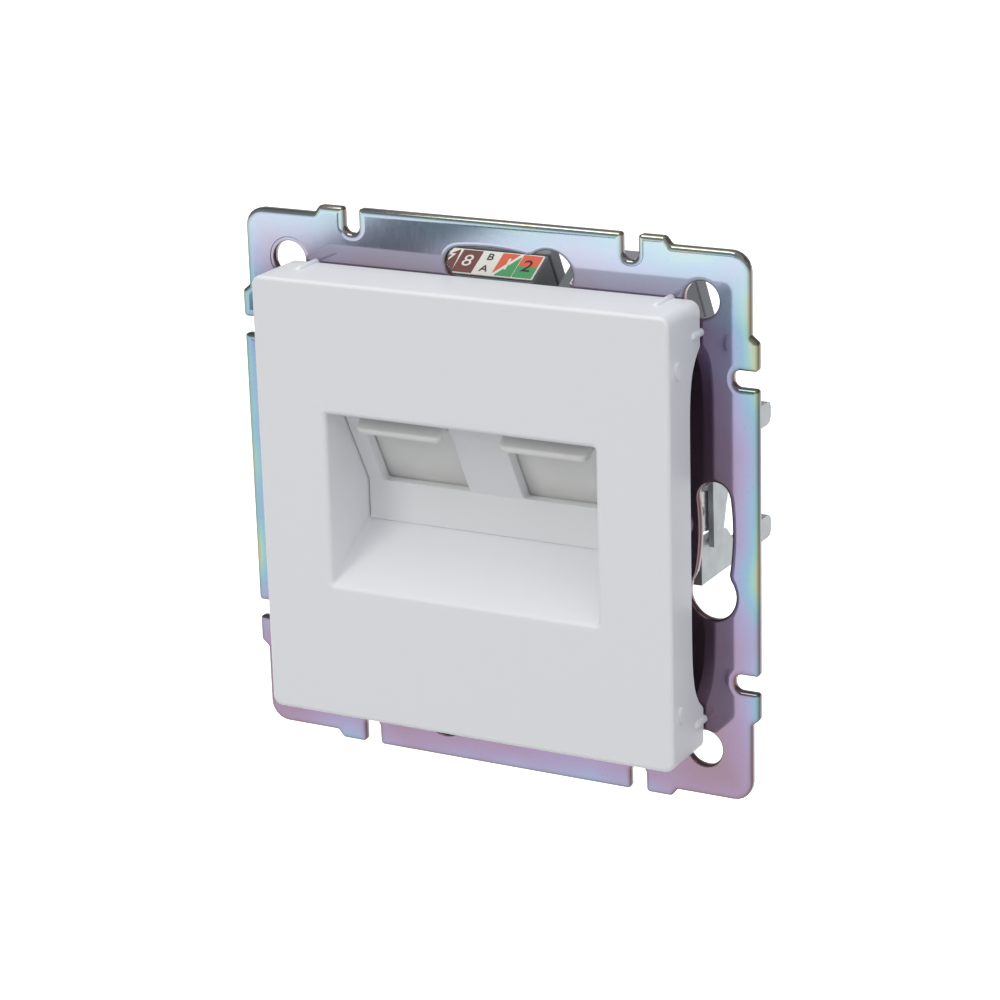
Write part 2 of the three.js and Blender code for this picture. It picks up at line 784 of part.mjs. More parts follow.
function moduleCarrier() {
  const slots = [];
  for (const x of [-LEG.x, LEG.x]) {
    for (const z of [-LEG.z, LEG.z]) {
      const halfX = LEG.width / 2 + 0.3;
      const halfZ = LEG.thickness / 2 + 0.3;
      slots.push(box(x - halfX, x + halfX, -5, 1, z - halfZ, z + halfZ));
    }
  }
  return cut(join(...carrierBars(), ...carrierCheeks(), carrierCollar()), ...slots);
}

// ---- Assembly -----------------------------------------------------------------------------------------

const mechanism = new THREE.Group();
mechanism.name = "data_outlet";

const FINISH = {
  zincPlate: { color: 0x9fb0bd, roughness: 0.32, metalness: 0.9 },
  brightZinc: { color: 0xc3c6c8, roughness: 0.35, metalness: 0.95 },
  whiteSatin: { color: 0xdfe1e4, roughness: 0.45, metalness: 0 },
  whiteMatt: { color: 0xd9dadb, roughness: 0.6, metalness: 0 },
  charcoal: { color: 0x3b3e42, roughness: 0.55, metalness: 0 },
  gold: { color: 0xd0a04a, roughness: 0.25, metalness: 1 },
  board: { color: 0x2f6b3c, roughness: 0.5, metalness: 0 },
  paper: { color: 0xd8d2c6, roughness: 0.7, metalness: 0 },
  smoke: { color: 0x55585c, roughness: 0.4, metalness: 0 },
};

function add(name, geometry, finish, parent = mechanism) {
  const mesh = new THREE.Mesh(geometry, new THREE.MeshStandardMaterial(FINISH[finish]));
  mesh.name = name;
  parent.add(mesh);
  return mesh;
}

add("mounting_plate", mountingPlate(), "zincPlate");
add("module_carrier", moduleCarrier(), "whiteMatt");
add("cover", cover(), "whiteSatin");
add("port_insert", portInsert(), "whiteMatt");

for (const { name, sign } of SIDES) {
  add(`claw_${name}`, onSide(claw(), sign), "brightZinc");
  add(`claw_pin_${name}`, onSide(clawPin(), sign), "brightZinc");
  add(`claw_screw_${name}`, onSide(clawScrew(), sign), "brightZinc");
  add(`claw_nut_${name}`, onSide(clawNut(), sign), "brightZinc");
  add(`shutter_${name}`, onSide(shutter(), sign), "whiteMatt");
  add(`shutter_spring_${name}`, onSide(shutterSpring(), sign), "brightZinc");
  add(`shutter_retainer_${name}`, onSide(shutterRetainer(), sign), "whiteMatt");

  const jack = new THREE.Group();
  jack.position.x = sign * PORT_X;
  mechanism.add(jack);
  add(`jack_housing_${name}`, jackHousing(), "charcoal", jack);
  add(`contact_set_${name}`, contactSet(), "gold", jack);
  add(`circuit_board_${name}`, circuitBoard(), "board", jack);
  add(`terminal_block_${name}`, terminalBlock(), "charcoal", jack);
  add(`terminal_blades_low_${name}`, terminalBlades(ROW.lowS), "brightZinc", jack);
  add(`terminal_blades_high_${name}`, terminalBlades(ROW.highS), "brightZinc", jack);
  add(`wiring_label_${name}`, wiringLabel(), "paper", jack);
  add(`wire_cap_${name}`, wireCap(), "smoke", jack);
}

export default mechanism;
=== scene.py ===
"""Looks of a double data outlet mechanism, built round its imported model.

Sizes are in millimetres in the part's own frame: +X right, +Y into the wall, +Z up, and Y = 0 at the rear
face of the mounting plate. Each mesh is built in millimetres and turned into metres when it is finished.
The ports, shutters and jacks lie in a sloping frame: x, then n into the wall, then s up the slope, from the
fold between the slope and the back wall.
"""

import logging
import math
from collections.abc import Callable, Sequence
from dataclasses import dataclass
from enum import Enum

import bmesh
import bpy
from mathutils import Matrix, Vector


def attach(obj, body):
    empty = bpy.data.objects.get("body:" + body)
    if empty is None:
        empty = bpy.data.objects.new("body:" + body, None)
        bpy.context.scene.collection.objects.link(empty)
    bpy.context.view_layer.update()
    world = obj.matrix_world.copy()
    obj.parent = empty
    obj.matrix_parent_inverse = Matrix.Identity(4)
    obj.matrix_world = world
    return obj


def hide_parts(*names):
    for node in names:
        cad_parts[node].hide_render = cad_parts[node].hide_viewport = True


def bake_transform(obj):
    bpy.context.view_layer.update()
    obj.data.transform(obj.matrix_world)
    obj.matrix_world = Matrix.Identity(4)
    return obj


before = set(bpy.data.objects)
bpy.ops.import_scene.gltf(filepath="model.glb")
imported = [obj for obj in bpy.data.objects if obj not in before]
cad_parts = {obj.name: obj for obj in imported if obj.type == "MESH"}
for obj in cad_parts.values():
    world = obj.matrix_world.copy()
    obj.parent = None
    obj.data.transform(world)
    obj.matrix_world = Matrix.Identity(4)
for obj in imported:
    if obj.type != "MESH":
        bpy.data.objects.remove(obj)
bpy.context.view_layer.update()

LOG = logging.getLogger("data_outlet")

MM = 0.001
SIDES = (("left", -1), ("right", 1))

Point = tuple[float, float]
Ring = list[Point]
Placement = Callable[[float, float, float], Vector]
Mesh = bmesh.types.BMesh
Piece = bpy.types.Object
Socket = bpy.types.NodeSocket

# ---- Driving sizes -------------------------------------------------------------------------------------

SLOPE = math.radians(28.3)
FOLD_Y = -0.45
FOLD_Z = 0.45
PORT_X = 10.0

# ---- Placements ----------------------------------------------------------------------------------------


def on_wall(x: float, z: float, depth: float) -> Vector:
    """Places an outline drawn in X and Z, with its depth along +Y."""
    return Vector((x, depth, z))


def on_side(y: float, z: float, depth: float) -> Vector:
    """Places an outline drawn in Y and Z, with its depth along +X."""
    return Vector((depth, y, z))


def on_top(x: float, y: float, depth: float) -> Vector:
    """Places an outline drawn in X and Y, with its depth along +Z."""
    return Vector((x, y, depth))


def on_slope(x: float, s: float, n: float) -> Vector:
    """Places an outline drawn in x and s of the sloping frame.

    Args:
        x: Place across the slope.
        s: Place up the slope.
        n: Depth into the wall, square to the slope.

    Returns:
        The point in the part's frame.
    """
    y = FOLD_Y + n * math.cos(SLOPE) - s * math.sin(SLOPE)
    z = FOLD_Z + n * math.sin(SLOPE) + s * math.cos(SLOPE)
    return Vector((x, y, z))


def across_slope(x: float, n: float, s: float) -> Vector:
    """Places an outline drawn in x and n of the sloping frame, with its depth s up the slope."""
    return on_slope(x, s, n)


# ---- Outlines ------------------------------------------------------------------------------------------

LEAST_MITRE = 0.2
LEAST_FILLET = 0.02


@dataclass(frozen=True)
class Corners:
    """A polygon with a fillet at each corner. Material lies on its left, so a hole runs clockwise."""

    points: tuple[tuple[float, float, float], ...]
    steps: int = 5
    shear: float = 0.0

    def ring(self, inset: float, depth: float = 0.0) -> Ring:
        """The outline moved into the material.

        Args:
            inset: How far it moves.
            depth: Depth below the front, which the shear turns into a shift of the second coordinate.

        Returns:
            As many points whatever the inset, so that rings can be joined.
        """
        made: Ring = []
        for i, (a, b, radius) in enumerate(self.points):
            here = Vector((a, b))
            before = (here - Vector(self.points[i - 1][:2])).normalized()
            after = (Vector(self.points[(i + 1) % len(self.points)][:2]) - here).normalized()
            side = 1.0 if before.x * after.y - before.y * after.x > 0 else -1.0
            angle = math.acos(max(-1.0, min(1.0, before.dot(after))))
            left = Vector((-before.y, before.x))
            mitre = (left + Vector((-after.y, after.x))).normalized()
            corner = here + mitre * (inset / max(LEAST_MITRE, mitre.dot(left)))
            size = max(LEAST_FILLET, radius - side * inset)
            centre = corner - before * size * math.tan(angle / 2) + left * size * side
            start = math.atan2(-left.y * side, -left.x * side)
            for step in range(self.steps + 1):
                theta = start + side * angle * step / self.steps
                made.append((centre.x + size * math.cos(theta), centre.y + size * math.sin(theta)))
        return [(a, b + self.shear * depth) for a, b in made]


@dataclass(frozen=True)
class Disc:
    """A round outline or hole."""

    a: float
    b: float
    radius: float
    hole: bool = False
    steps: int = 40

    def ring(self, inset: float, depth: float = 0.0) -> Ring:
        """The circle moved into the material.

        Args:
            inset: How far it moves.
            depth: Depth below the front, which doesn't change a circle.

        Returns:
            Points round the circle.
        """
        side = -1 if self.hole else 1
        radius = self.radius - side * inset
        angles = [2 * math.pi * side * i / self.steps for i in range(self.steps)]
        return [(self.a + radius * math.cos(t), self.b + radius * math.sin(t)) for t in angles]


@dataclass(frozen=True)
class FreeLoop:
    """Any smooth closed line. Material lies on its left."""

    points: tuple[Point, ...]

    def ring(self, inset: float, depth: float = 0.0) -> Ring:
        """The line moved into the material along its normals.

        Args:
            inset: How far it moves.
            depth: Depth below the front, which doesn't change the line.

        Returns:
            As many points as the line has.
        """
        made: Ring = []
        for i, (a, b) in enumerate(self.points):
            along = Vector(self.points[(i + 1) % len(self.points)]) - Vector(self.points[i - 1])
            along.normalize()
            made.append((a - along.y * inset, b + along.x * inset))
        return made


Outline = Corners | Disc | FreeLoop


def rectangle(a0: float, a1: float, b0: float, b1: float, radius: float, hole: bool = False) -> Corners:
    """A rectangle with round corners, as a body or as a hole."""
    points = [(a0, b0, radius), (a1, b0, radius), (a1, b1, radius), (a0, b1, radius)]
    return Corners(tuple(reversed(points)) if hole else tuple(points))


def centred(a: float, b: float, half_a: float, half_b: float, radius: float, hole: bool = False) -> Corners:
    """A rectangle with round corners about its middle."""
    return rectangle(a - half_a, a + half_a, b - half_b, b + half_b, radius, hole)


def mirrored(side: int, near: float, far: float, b0: float, b1: float, radius: float) -> Corners:
    """A rectangle between two distances from the middle plane, on the given side of it."""
    a0, a1 = sorted((side * near, side * far))
    return rectangle(a0, a1, b0, b1, radius)


# ---- Meshes --------------------------------------------------------------------------------------------


@dataclass(frozen=True)
class Ease:
    """How an edge is rounded: how far in from the outline, and how far along the depth."""

    inset: float
    depth: float
    steps: int = 3

    def stages(self) -> list[tuple[float, float]]:
        """Pairs of inset and depth on a quarter of an ellipse, from the flat face to the side."""
        angles = [math.pi / 2 * step / self.steps for step in range(self.steps + 1)]
        return [(self.inset * (1 - math.sin(t)), self.depth * (1 - math.cos(t))) for t in angles]


SUPPORT = 0.07
SMALL = Ease(0.12, 0.12)
FINE = Ease(0.06, 0.06, 2)
THIN = Ease(0.01, 0.01, 1)


def join_rings(mesh: Mesh, rings: Sequence[Sequence], closed: bool = False) -> None:
    """Joins rings of the same count with quads.

    Args:
        mesh: The mesh that holds the rings' vertices.
        rings: Rings of vertices, in order.
        closed: Whether the last ring joins the first.
    """
    pairs = list(zip(rings, rings[1:]))
    if closed:
        pairs.append((rings[-1], rings[0]))
    for one, two in pairs:
        for i in range(len(one)):
            k = (i + 1) % len(one)
            mesh.faces.new((one[i], one[k], two[k], two[i]))


def cap_off(mesh: Mesh, loops: Sequence[Sequence]) -> None:
    """Fills a flat face between its border and its holes, given as loops of vertices."""
    edges = [mesh.edges.get((loop[i - 1], loop[i])) for loop in loops for i in range(len(loop))]
    bmesh.ops.triangle_fill(mesh, use_beauty=True, use_dissolve=False, edges=edges)


def slab(
    mesh: Mesh,
    outlines: Sequence[Outline],
    front: float,
    rear: float,
    place: Placement,
    front_ease: Ease = SMALL,
    rear_ease: Ease = SMALL,
) -> None:
    """Adds a flat solid with holes and eased edges.

    Args:
        mesh: The mesh to add to.
        outlines: The outer outline, then the holes.
        front: Depth of its front face.
        rear: Depth of its rear face.
        place: Turns the outline's two coordinates and a depth into a point.
        front_ease: Rounding of the front edges.
        rear_ease: Rounding of the rear edges.
    """
    total = abs(rear - front)
    sign = 1 if rear > front else -1
    stages = [(front_ease.inset + SUPPORT, 0.0)] + front_ease.stages()
    stages += [(inset, total - depth) for inset, depth in reversed(rear_ease.stages())]
    stages.append((rear_ease.inset + SUPPORT, total))
    ends = []
    for outline in outlines:
        rings = []
        for inset, depth in stages:
            ring = outline.ring(inset, depth)
            rings.append([mesh.verts.new(place(a, b, front + sign * depth)) for a, b in ring])
        join_rings(mesh, rings)
        ends.append((rings[0], rings[-1]))
    for loops in zip(*ends):
        cap_off(mesh, loops)


def lathe(
    mesh: Mesh,
    profile: Sequence[Point],
    place: Callable[[float, float], Callable[[float], Vector]],
    steps: int = 32,
) -> None:
    """Adds a turned solid whose profile starts and ends on its axis.

    Args:
        mesh: The mesh to add to.
        profile: Pairs of radius and height; the first and last radius are 0.
        place: Takes a radius and a height, and returns a function from the angle to a point.
        steps: Number of steps round.
    """
    rings = []
    for radius, height in profile[1:-1]:
        at = place(radius, height)
        rings.append([mesh.verts.new(at(2 * math.pi * i / steps)) for i in range(steps)])
    join_rings(mesh, rings)
    for ring, (_, height) in ((rings[0], profile[0]), (rings[-1], profile[-1])):
        tip = mesh.verts.new(place(0.0, height)(0.0))
        for i in range(steps):
            mesh.faces.new((ring[i - 1], ring[i], tip))


def into_wall(x: float, z: float) -> Callable[[float, float], Callable[[float], Vector]]:
    """Placement of a turned piece whose axis runs into the wall."""
    return lambda radius, y: lambda t: on_wall(x + radius * math.cos(t), z + radius * math.sin(t), y)


def tube(mesh: Mesh, path: Sequence[Vector], radius: float, sides: int = 8) -> None:
    """Adds a round wire along a line of points.

    Args:
        mesh: The mesh to add to.
        path: The wire's middle line.
        radius: Radius of the wire.
        sides: Sides of its section.
    """
    rings = []
    side = (path[1] - path[0]).orthogonal().normalized()
    for i, point in enumerate(path):
        along = (path[min(i + 1, len(path) - 1)] - path[max(i - 1, 0)]).normalized()
        side = (side - along * side.dot(along)).normalized()
        up = along.cross(side)
        ring = []
        for t in (2 * math.pi * k / sides for k in range(sides)):
            ring.append(mesh.verts.new(point + (side * math.cos(t) + up * math.sin(t)) * radius))
        rings.append(ring)
    join_rings(mesh, rings)
    for ring in (rings[0], rings[-1]):
        mesh.faces.new(ring)


def linked(name: str, data: bpy.types.ID) -> Piece:
    """Makes an object and links it to the scene.

    Args:
        name: Its name.
        data: Its mesh, curve, light or camera.

    Returns:
        The object.
    """
    made = bpy.data.objects.new(name, data)
    bpy.context.scene.collection.objects.link(made)
    return made


def to_object(mesh: Mesh, name: str, sharp: float = 32.0, scale: float = MM) -> Piece:
    """Turns a bmesh into an object with smooth faces and sharp edges.

    Args:
        mesh: The mesh, which is freed.
        name: Name of the piece.
        sharp: Angle in degrees above which an edge stays sharp.
        scale: Length of the mesh's unit in metres.

    Returns:
        The new object, linked to the scene.
    """
    bmesh.ops.recalc_face_normals(mesh, faces=mesh.faces)
    bmesh.ops.scale(mesh, vec=(scale, scale, scale), verts=mesh.verts)
    for face in mesh.faces:
        face.smooth = True
    data = bpy.data.meshes.new(name)
    mesh.to_mesh(data)
    mesh.free()
    data.set_sharp_from_angle(angle=math.radians(sharp))
    return linked(name, data)


def softened(node: str, name: str, width: float, steps: int = 2) -> Piece:
    """Copies a CAD node's solid, clears its flat faces and rounds its edges.

    Args:
        node: Name of the CAD node.
        name: Name of the new piece.
        width: Width of the rounding.
        steps: Steps of the rounding.

    Returns:
        The new piece, not yet dressed.
    """
    weld, flat, corner = 1e-6, math.radians(1), 40
    mesh = bmesh.new()
    mesh.from_mesh(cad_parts[node].data)
    bmesh.ops.remove_doubles(mesh, verts=mesh.verts, dist=weld)
    bmesh.ops.dissolve_limit(mesh, angle_limit=flat, verts=mesh.verts, edges=mesh.edges)
    for layer in list(mesh.loops.layers.uv):
        mesh.loops.layers.uv.remove(layer)
    made = to_object(mesh, name, corner, 1.0)
    made.data.materials.clear()
    bevel = made.modifiers.new("eased", "BEVEL")
    bevel.width = width * MM
    bevel.segments = steps
    bevel.limit_method = "ANGLE"
    bevel.angle_limit = math.radians(corner)
    bevel.harden_normals = True
    return made


# ---- Finishes ------------------------------------------------------------------------------------------


class Graph:
    """A small builder of shader nodes that ends in one Principled shader."""

    def __init__(self, name: str) -> None:
        """Starts an empty material.

        Args:
            name: Name of the material.
        """
        self.material = bpy.data.materials.new(name)
        self.material.use_nodes = True
        self.tree = self.material.node_tree
        self.tree.nodes.clear()
        self.shader = self.tree.nodes.new("ShaderNodeBsdfPrincipled")
        output = self.tree.nodes.new("ShaderNodeOutputMaterial")
        self.tree.links.new(self.shader.outputs["BSDF"], output.inputs["Surface"])

    def plug(self, socket: Socket, value: object) -> None:
        """Links a socket to another socket, or sets its value.

        Args:
            socket: The input.
            value: A socket or a plain value.
        """
        if isinstance(value, Socket):
            self.tree.links.new(value, socket)
        else:
            socket.default_value = value

    def node(self, kind: str, inputs: dict | None = None, **settings: object) -> bpy.types.Node:
        """Adds a node.

        Args:
            kind: Its type without the ShaderNode prefix.
            inputs: Values or sockets for its inputs, by name or number.
            settings: Its own properties.

        Returns:
            The node.
        """
        made = self.tree.nodes.new("ShaderNode" + kind)
        for key, value in settings.items():
            setattr(made, key, value)
        for key, value in (inputs or {}).items():
            self.plug(made.inputs[key], value)
        return made

    def feed(self, **inputs: object) -> None:
        """Sets or links inputs of the Principled shader, named with underscores for spaces."""
        for name, value in inputs.items():
            self.plug(self.shader.inputs[name.replace("_", " ")], value)

    def place(self, stretch: tuple[float, float, float] = (1, 1, 1)) -> Socket:
        """Object coordinates in millimetres.

        Args:
            stretch: Factors along the axes.

        Returns:
            The coordinates.
        """
        vector = self.node("TexCoord").outputs["Object"]
        scale = tuple(value / MM for value in stretch)
        return self.node("Mapping", {"Vector": vector, "Scale": scale}).outputs["Vector"]

    def noise(self, vector: Socket, scale: float, detail: float = 3) -> Socket:
        """Noise from 0 to 1, with scale in cycles to a millimetre."""
        return self.node("TexNoise", {"Vector": vector, "Scale": scale, "Detail": detail}).outputs["Fac"]

    def ramp(self, value: Socket, stops: Sequence[tuple[float, tuple]]) -> Socket:
        """A colour ramp.

        Args:
            value: Where on the ramp to read.
            stops: Pairs of place and linear colour.

        Returns:
            The colour.
        """
        made = self.node("ValToRGB", {"Fac": value})
        elements = made.color_ramp.elements
        while len(elements) < len(stops):
            elements.new(0.5)
        for element, (position, colour) in zip(elements, stops):
            element.position = position
            element.color = (*colour, 1)
        return made.outputs["Color"]

    def spread(self, value: Socket, middle: float, less: float, more: float) -> Socket:
        """Maps 0 to 1 onto a span round a middle value."""
        span = {"Value": value, "To Min": middle - less, "To Max": middle + more}
        return self.node("MapRange", span).outputs["Result"]

    def math(self, operation: str, one: object, two: object = 0.0) -> Socket:
        """One arithmetic step."""
        return self.node("Math", {0: one, 1: two}, operation=operation).outputs["Value"]

    def blend(self, share: object, one: object, two: object, mode: str = "MIX") -> Socket:
        """Mixes two colours."""
        made = self.node("Mix", {"Factor": share, 6: one, 7: two}, data_type="RGBA", blend_type=mode)
        return made.outputs[2]

    def bump(self, height: Socket, strength: float, distance: float) -> None:
        """Feeds the normal from a height."""
        inputs = {"Height": height, "Strength": strength, "Distance": distance * MM}
        self.feed(Normal=self.node("Bump", inputs).outputs["Normal"])


def rgb(value: int) -> tuple[float, float, float]:
    """Linear colour from a display colour such as 0xC8CACC."""
    channels = [(value >> shift & 255) / 255 for shift in (16, 8, 0)]
    return tuple(c / 12.92 if c <= 0.04045 else ((c + 0.055) / 1.055) ** 2.4 for c in channels)


@dataclass(frozen=True)
class Plastic:
    """Moulded plastic with a faint grain and slow waves."""

    name: str
    colour: int
    roughness: float
    grain: float = 0.004
    waves: float = 0.01
    variation: float = 0.03
    coat: float = 0.0

    def material(self) -> bpy.types.Material:
        """Builds the shader.

        Returns:
            The material.
        """
        graph = Graph(self.name)
        place = graph.place()
        slow = graph.noise(place, 0.12, 2)
        fine = graph.noise(place, 9.0, 4)
        base = rgb(self.colour)
        dark = tuple(c * (1 - self.variation) for c in base)
        light = tuple(min(1.0, c * (1 + self.variation)) for c in base)
        graph.feed(Base_Color=graph.ramp(slow, [(0.3, dark), (0.7, light)]))
        graph.feed(Roughness=graph.spread(graph.noise(place, 1.3, 5), self.roughness, 0.05, 0.05))
        graph.feed(IOR=1.49, Coat_Weight=self.coat, Coat_Roughness=0.05)
        waves = graph.math("MULTIPLY", slow, self.waves)
        grain = graph.math("MULTIPLY", fine, self.grain)
        graph.bump(graph.math("ADD", waves, grain), 1.0, 1.0)
        return graph.material


# Film hues from the plate's edge inwards. The darker, browner inner stops are partly painted shade: they
# paint the shade in the gap round the cover's edge and the reflection of the cover's shaded side wall.
FILM_HUES_AND_GAP_SHADE = [
    (0.00, rgb(0xA9B7A0)),
    (0.03, rgb(0x90B8B4)),
    (0.10, rgb(0x86A9BC)),
    (0.22, rgb(0x989AB8)),
    (0.40, rgb(0x9B8AA4)),
    (0.62, rgb(0x957F8E)),
    (0.90, rgb(0x8A7A84)),
]
RIM_HUES = [(0.0, (1, 1, 1)), (0.5, rgb(0xF4F6EE)), (0.8, rgb(0xD3C7B4)), (1.0, rgb(0xA78A82))]


@dataclass(frozen=True)
class PassivatedZinc:
    """Zinc plate with an iridescent passivation film, drawn grain and fine specks, with painted shade round
    the cover's edge and a painted reflection towards the top edge.
    """

    name: str = "passivated_zinc"
    half: float = 35.5
    film_reach: float = 14.0
    wander: float = 13.0
    sink: float = -0.1
    # Painted reflection: towards the top edge the colour is mixed up to half way into this pale colour,
    # between the two heights below.
    pale: int = 0xD3E2EA
    painted_sheen_from: float = 25.0
    painted_sheen_to: float = 33.0
    shade: tuple[float, float, float, float] = (0.77, 0.75, 0.77, 1)
    speck: int = 0x8E979C
    roughness: float = 0.06

    def hues(self, graph: Graph, place: Socket) -> Socket:
        """The film's colour, which follows the distance from the plate's edge and drifts about; its darker,
        browner inner hues are partly painted shade round the cover's edge.

        Args:
            graph: The shader's builder.
            place: Coordinates in millimetres.

        Returns:
            The colour, paler near the top edge as a painted reflection.
        """
        parts = graph.node("SeparateXYZ", {"Vector": place}).outputs
        across, up = (graph.math("ABSOLUTE", parts[axis]) for axis in "XZ")
        inward = graph.math("SUBTRACT", self.half, graph.math("MAXIMUM", across, up))
        slow = graph.noise(place, 0.055, 2)
        wander = graph.math("MULTIPLY", graph.math("SUBTRACT", slow, 0.5), self.wander)
        sink = graph.math("MAXIMUM", graph.math("MULTIPLY", parts["Z"], self.sink), 0.0)
        reach = graph.math("ADD", graph.math("ADD", inward, wander), sink)
        # The ramp's darker inner hues are partly painted shade round the cover's edge.
        hues = graph.ramp(graph.math("DIVIDE", reach, self.film_reach), FILM_HUES_AND_GAP_SHADE)
        # Painted reflection: the colour grows paler towards the top edge.
        span = {"Value": parts["Z"], "From Min": self.painted_sheen_from, "From Max": self.painted_sheen_to, "To Max": 0.5}
        return graph.blend(graph.node("MapRange", span).outputs["Result"], hues, (*rgb(self.pale), 1))

    def material(self) -> bpy.types.Material:
        """Builds the shader.

        Returns:
            The material.
        """
        graph = Graph(self.name)
        place = graph.place()
        rim = graph.node("Attribute", attribute_name="rim").outputs["Fac"]
        tinted = graph.blend(1.0, self.hues(graph, place), graph.ramp(rim, RIM_HUES), "MULTIPLY")
        grain = graph.noise(graph.place((14.0, 1.0, 0.5)), 1.0, 4)
        specks = graph.ramp(graph.noise(place, 6.5, 2), [(0.68, (1, 1, 1)), (0.76, rgb(self.speck))])
        shaded = graph.blend(1.0, tinted, self.shade, "MULTIPLY")
        graph.feed(Base_Color=graph.blend(0.6, shaded, specks, "MULTIPLY"), Metallic=0.94)
        graph.feed(Roughness=graph.spread(grain, self.roughness, 0.02, 0.05))
        graph.bump(graph.math("ADD", grain, graph.noise(place, 3.0, 3)), 0.4, 0.001)
        return graph.material


@dataclass(frozen=True)
class PlatedSteel:
    """Small plated parts: screws, claws, pins, springs, contacts and blades."""

    name: str
    colour: int
    tint: int
    roughness: float
    metallic: float = 1.0

    def material(self) -> bpy.types.Material:
        """Builds the shader.

        Returns:
            The material.
        """
        graph = Graph(self.name)
        place = graph.place()
        clouds = graph.noise(place, 0.45, 4)
        graph.feed(Base_Color=graph.ramp(clouds, [(0.35, rgb(self.colour)), (0.7, rgb(self.tint))]))
        graph.feed(Metallic=self.metallic)
        graph.feed(Roughness=graph.spread(graph.noise(place, 5.0, 5), self.roughness, 0.08, 0.1))
        graph.bump(graph.noise(place, 11.0, 3), 0.35, 0.006)
        return graph.material


@dataclass(frozen=True)
class SolderMask:
    """Circuit board: green mask over tracks that show as a faint relief."""

    name: str = "solder_mask"
    mask: int = 0x1F5A33
    track: int = 0x2F7A45

    def material(self) -> bpy.types.Material:
        """Builds the shader.

        Returns:
            The material.
        """
        graph = Graph(self.name)
        waves = {"Vector": graph.place(), "Scale": 0.45, "Distortion": 6.0, "Detail": 1.0}
        tracks = graph.node("TexWave", waves).outputs["Fac"]
        graph.feed(Base_Color=graph.ramp(tracks, [(0.45, rgb(self.mask)), (0.55, rgb(self.track))]))
        graph.feed(Roughness=0.32, Coat_Weight=0.4)
        graph.bump(tracks, 0.4, 0.03)
        return graph.material


class Finish(Enum):
    """Every finish on the outlet, with the record's material slot it belongs to."""

    PLATE = ("zinc_plate", PassivatedZinc())
    BRIGHT = ("bright_zinc", PlatedSteel("bright_zinc", 0xA0A5AA, 0x90969C, 0.42, 0.8))
    CLAW = ("bright_zinc", PlatedSteel("claw_zinc", 0xB6BBBC, 0xA9AEB1, 0.45, 0.5))
    SPRING = ("spring_steel", PlatedSteel("spring_steel", 0xA9ABAD, 0x8C8F93, 0.24))
    COVER = ("white_satin", Plastic("white_satin", 0xD9DBDE, 0.3, 0.002, 0.008, 0.01, 1.0))
    INSERT = ("white_matt", Plastic("white_matt", 0xD9DADB, 0.4, 0.004, 0.01, 0.015, 0.4))
    SHUTTER = ("white_matt", Plastic("shutter_white", 0xE2E2DF, 0.38, 0.004, 0.01, 0.015, 0.5))
    CARRIER = ("white_matt", Plastic("carrier_white", 0xD2D4D5, 0.5, 0.01, 0.02, 0.02))
    CHARCOAL = ("charcoal", Plastic("charcoal", 0x27292C, 0.5, 0.01, 0.015, 0.08))
    SMOKE = ("smoke_cap", Plastic("smoke_cap", 0x5A5E63, 0.34, 0.005, 0.01, 0.06, 0.2))
    GOLD = ("contact_gold", PlatedSteel("contact_gold", 0xE2B45A, 0xC99440, 0.22))
    BLADE = ("blade_tin", PlatedSteel("blade_tin", 0xD5D6D2, 0xB9BAB4, 0.35))
    BOARD = ("board_green", SolderMask())
    FILM = ("label_film", Plastic("label_film", 0xE2DFD8, 0.35, 0.003, 0.01, 0.02, 0.3))
    BROWN = ("label_film", Plastic("film_brown", 0x6A2519, 0.35, 0.003, 0.01, 0.04, 0.3))
    ORANGE = ("label_film", Plastic("film_orange", 0xE0572A, 0.35, 0.003, 0.01, 0.04, 0.3))
    GREEN = ("label_film", Plastic("film_green", 0x2E9A55, 0.35, 0.003, 0.01, 0.04, 0.3))
    INK = ("label_film", Plastic("film_ink", 0x2A2422, 0.5, 0.003, 0.01, 0.04))

    def material(self) -> bpy.types.Material:
        """The finish's material, built once."""
        made = bpy.data.materials.get(self.value[1].name)
        return made or self.value[1].material()

    @property
    def slot(self) -> str:
        """The record's slot."""
        return self.value[0]


def dress(piece: Piece, finish: Finish, body: str, *nodes: str) -> None:
    """Gives a piece its finish, its body and the CAD nodes it stands for.

    Args:
        piece: The finished mesh.
        finish: Its finish, which also names its slot.
        body: The CAD body it rides on.
        nodes: CAD nodes that it replaces.
    """
    piece.data.materials.append(finish.material())
    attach(piece, body)
    if nodes:
        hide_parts(*nodes)
    LOG.info("%s: %d faces, on %s", piece.name, len(piece.data.polygons), body)


# ---- Mounting plate ------------------------------------------------------------------------------------


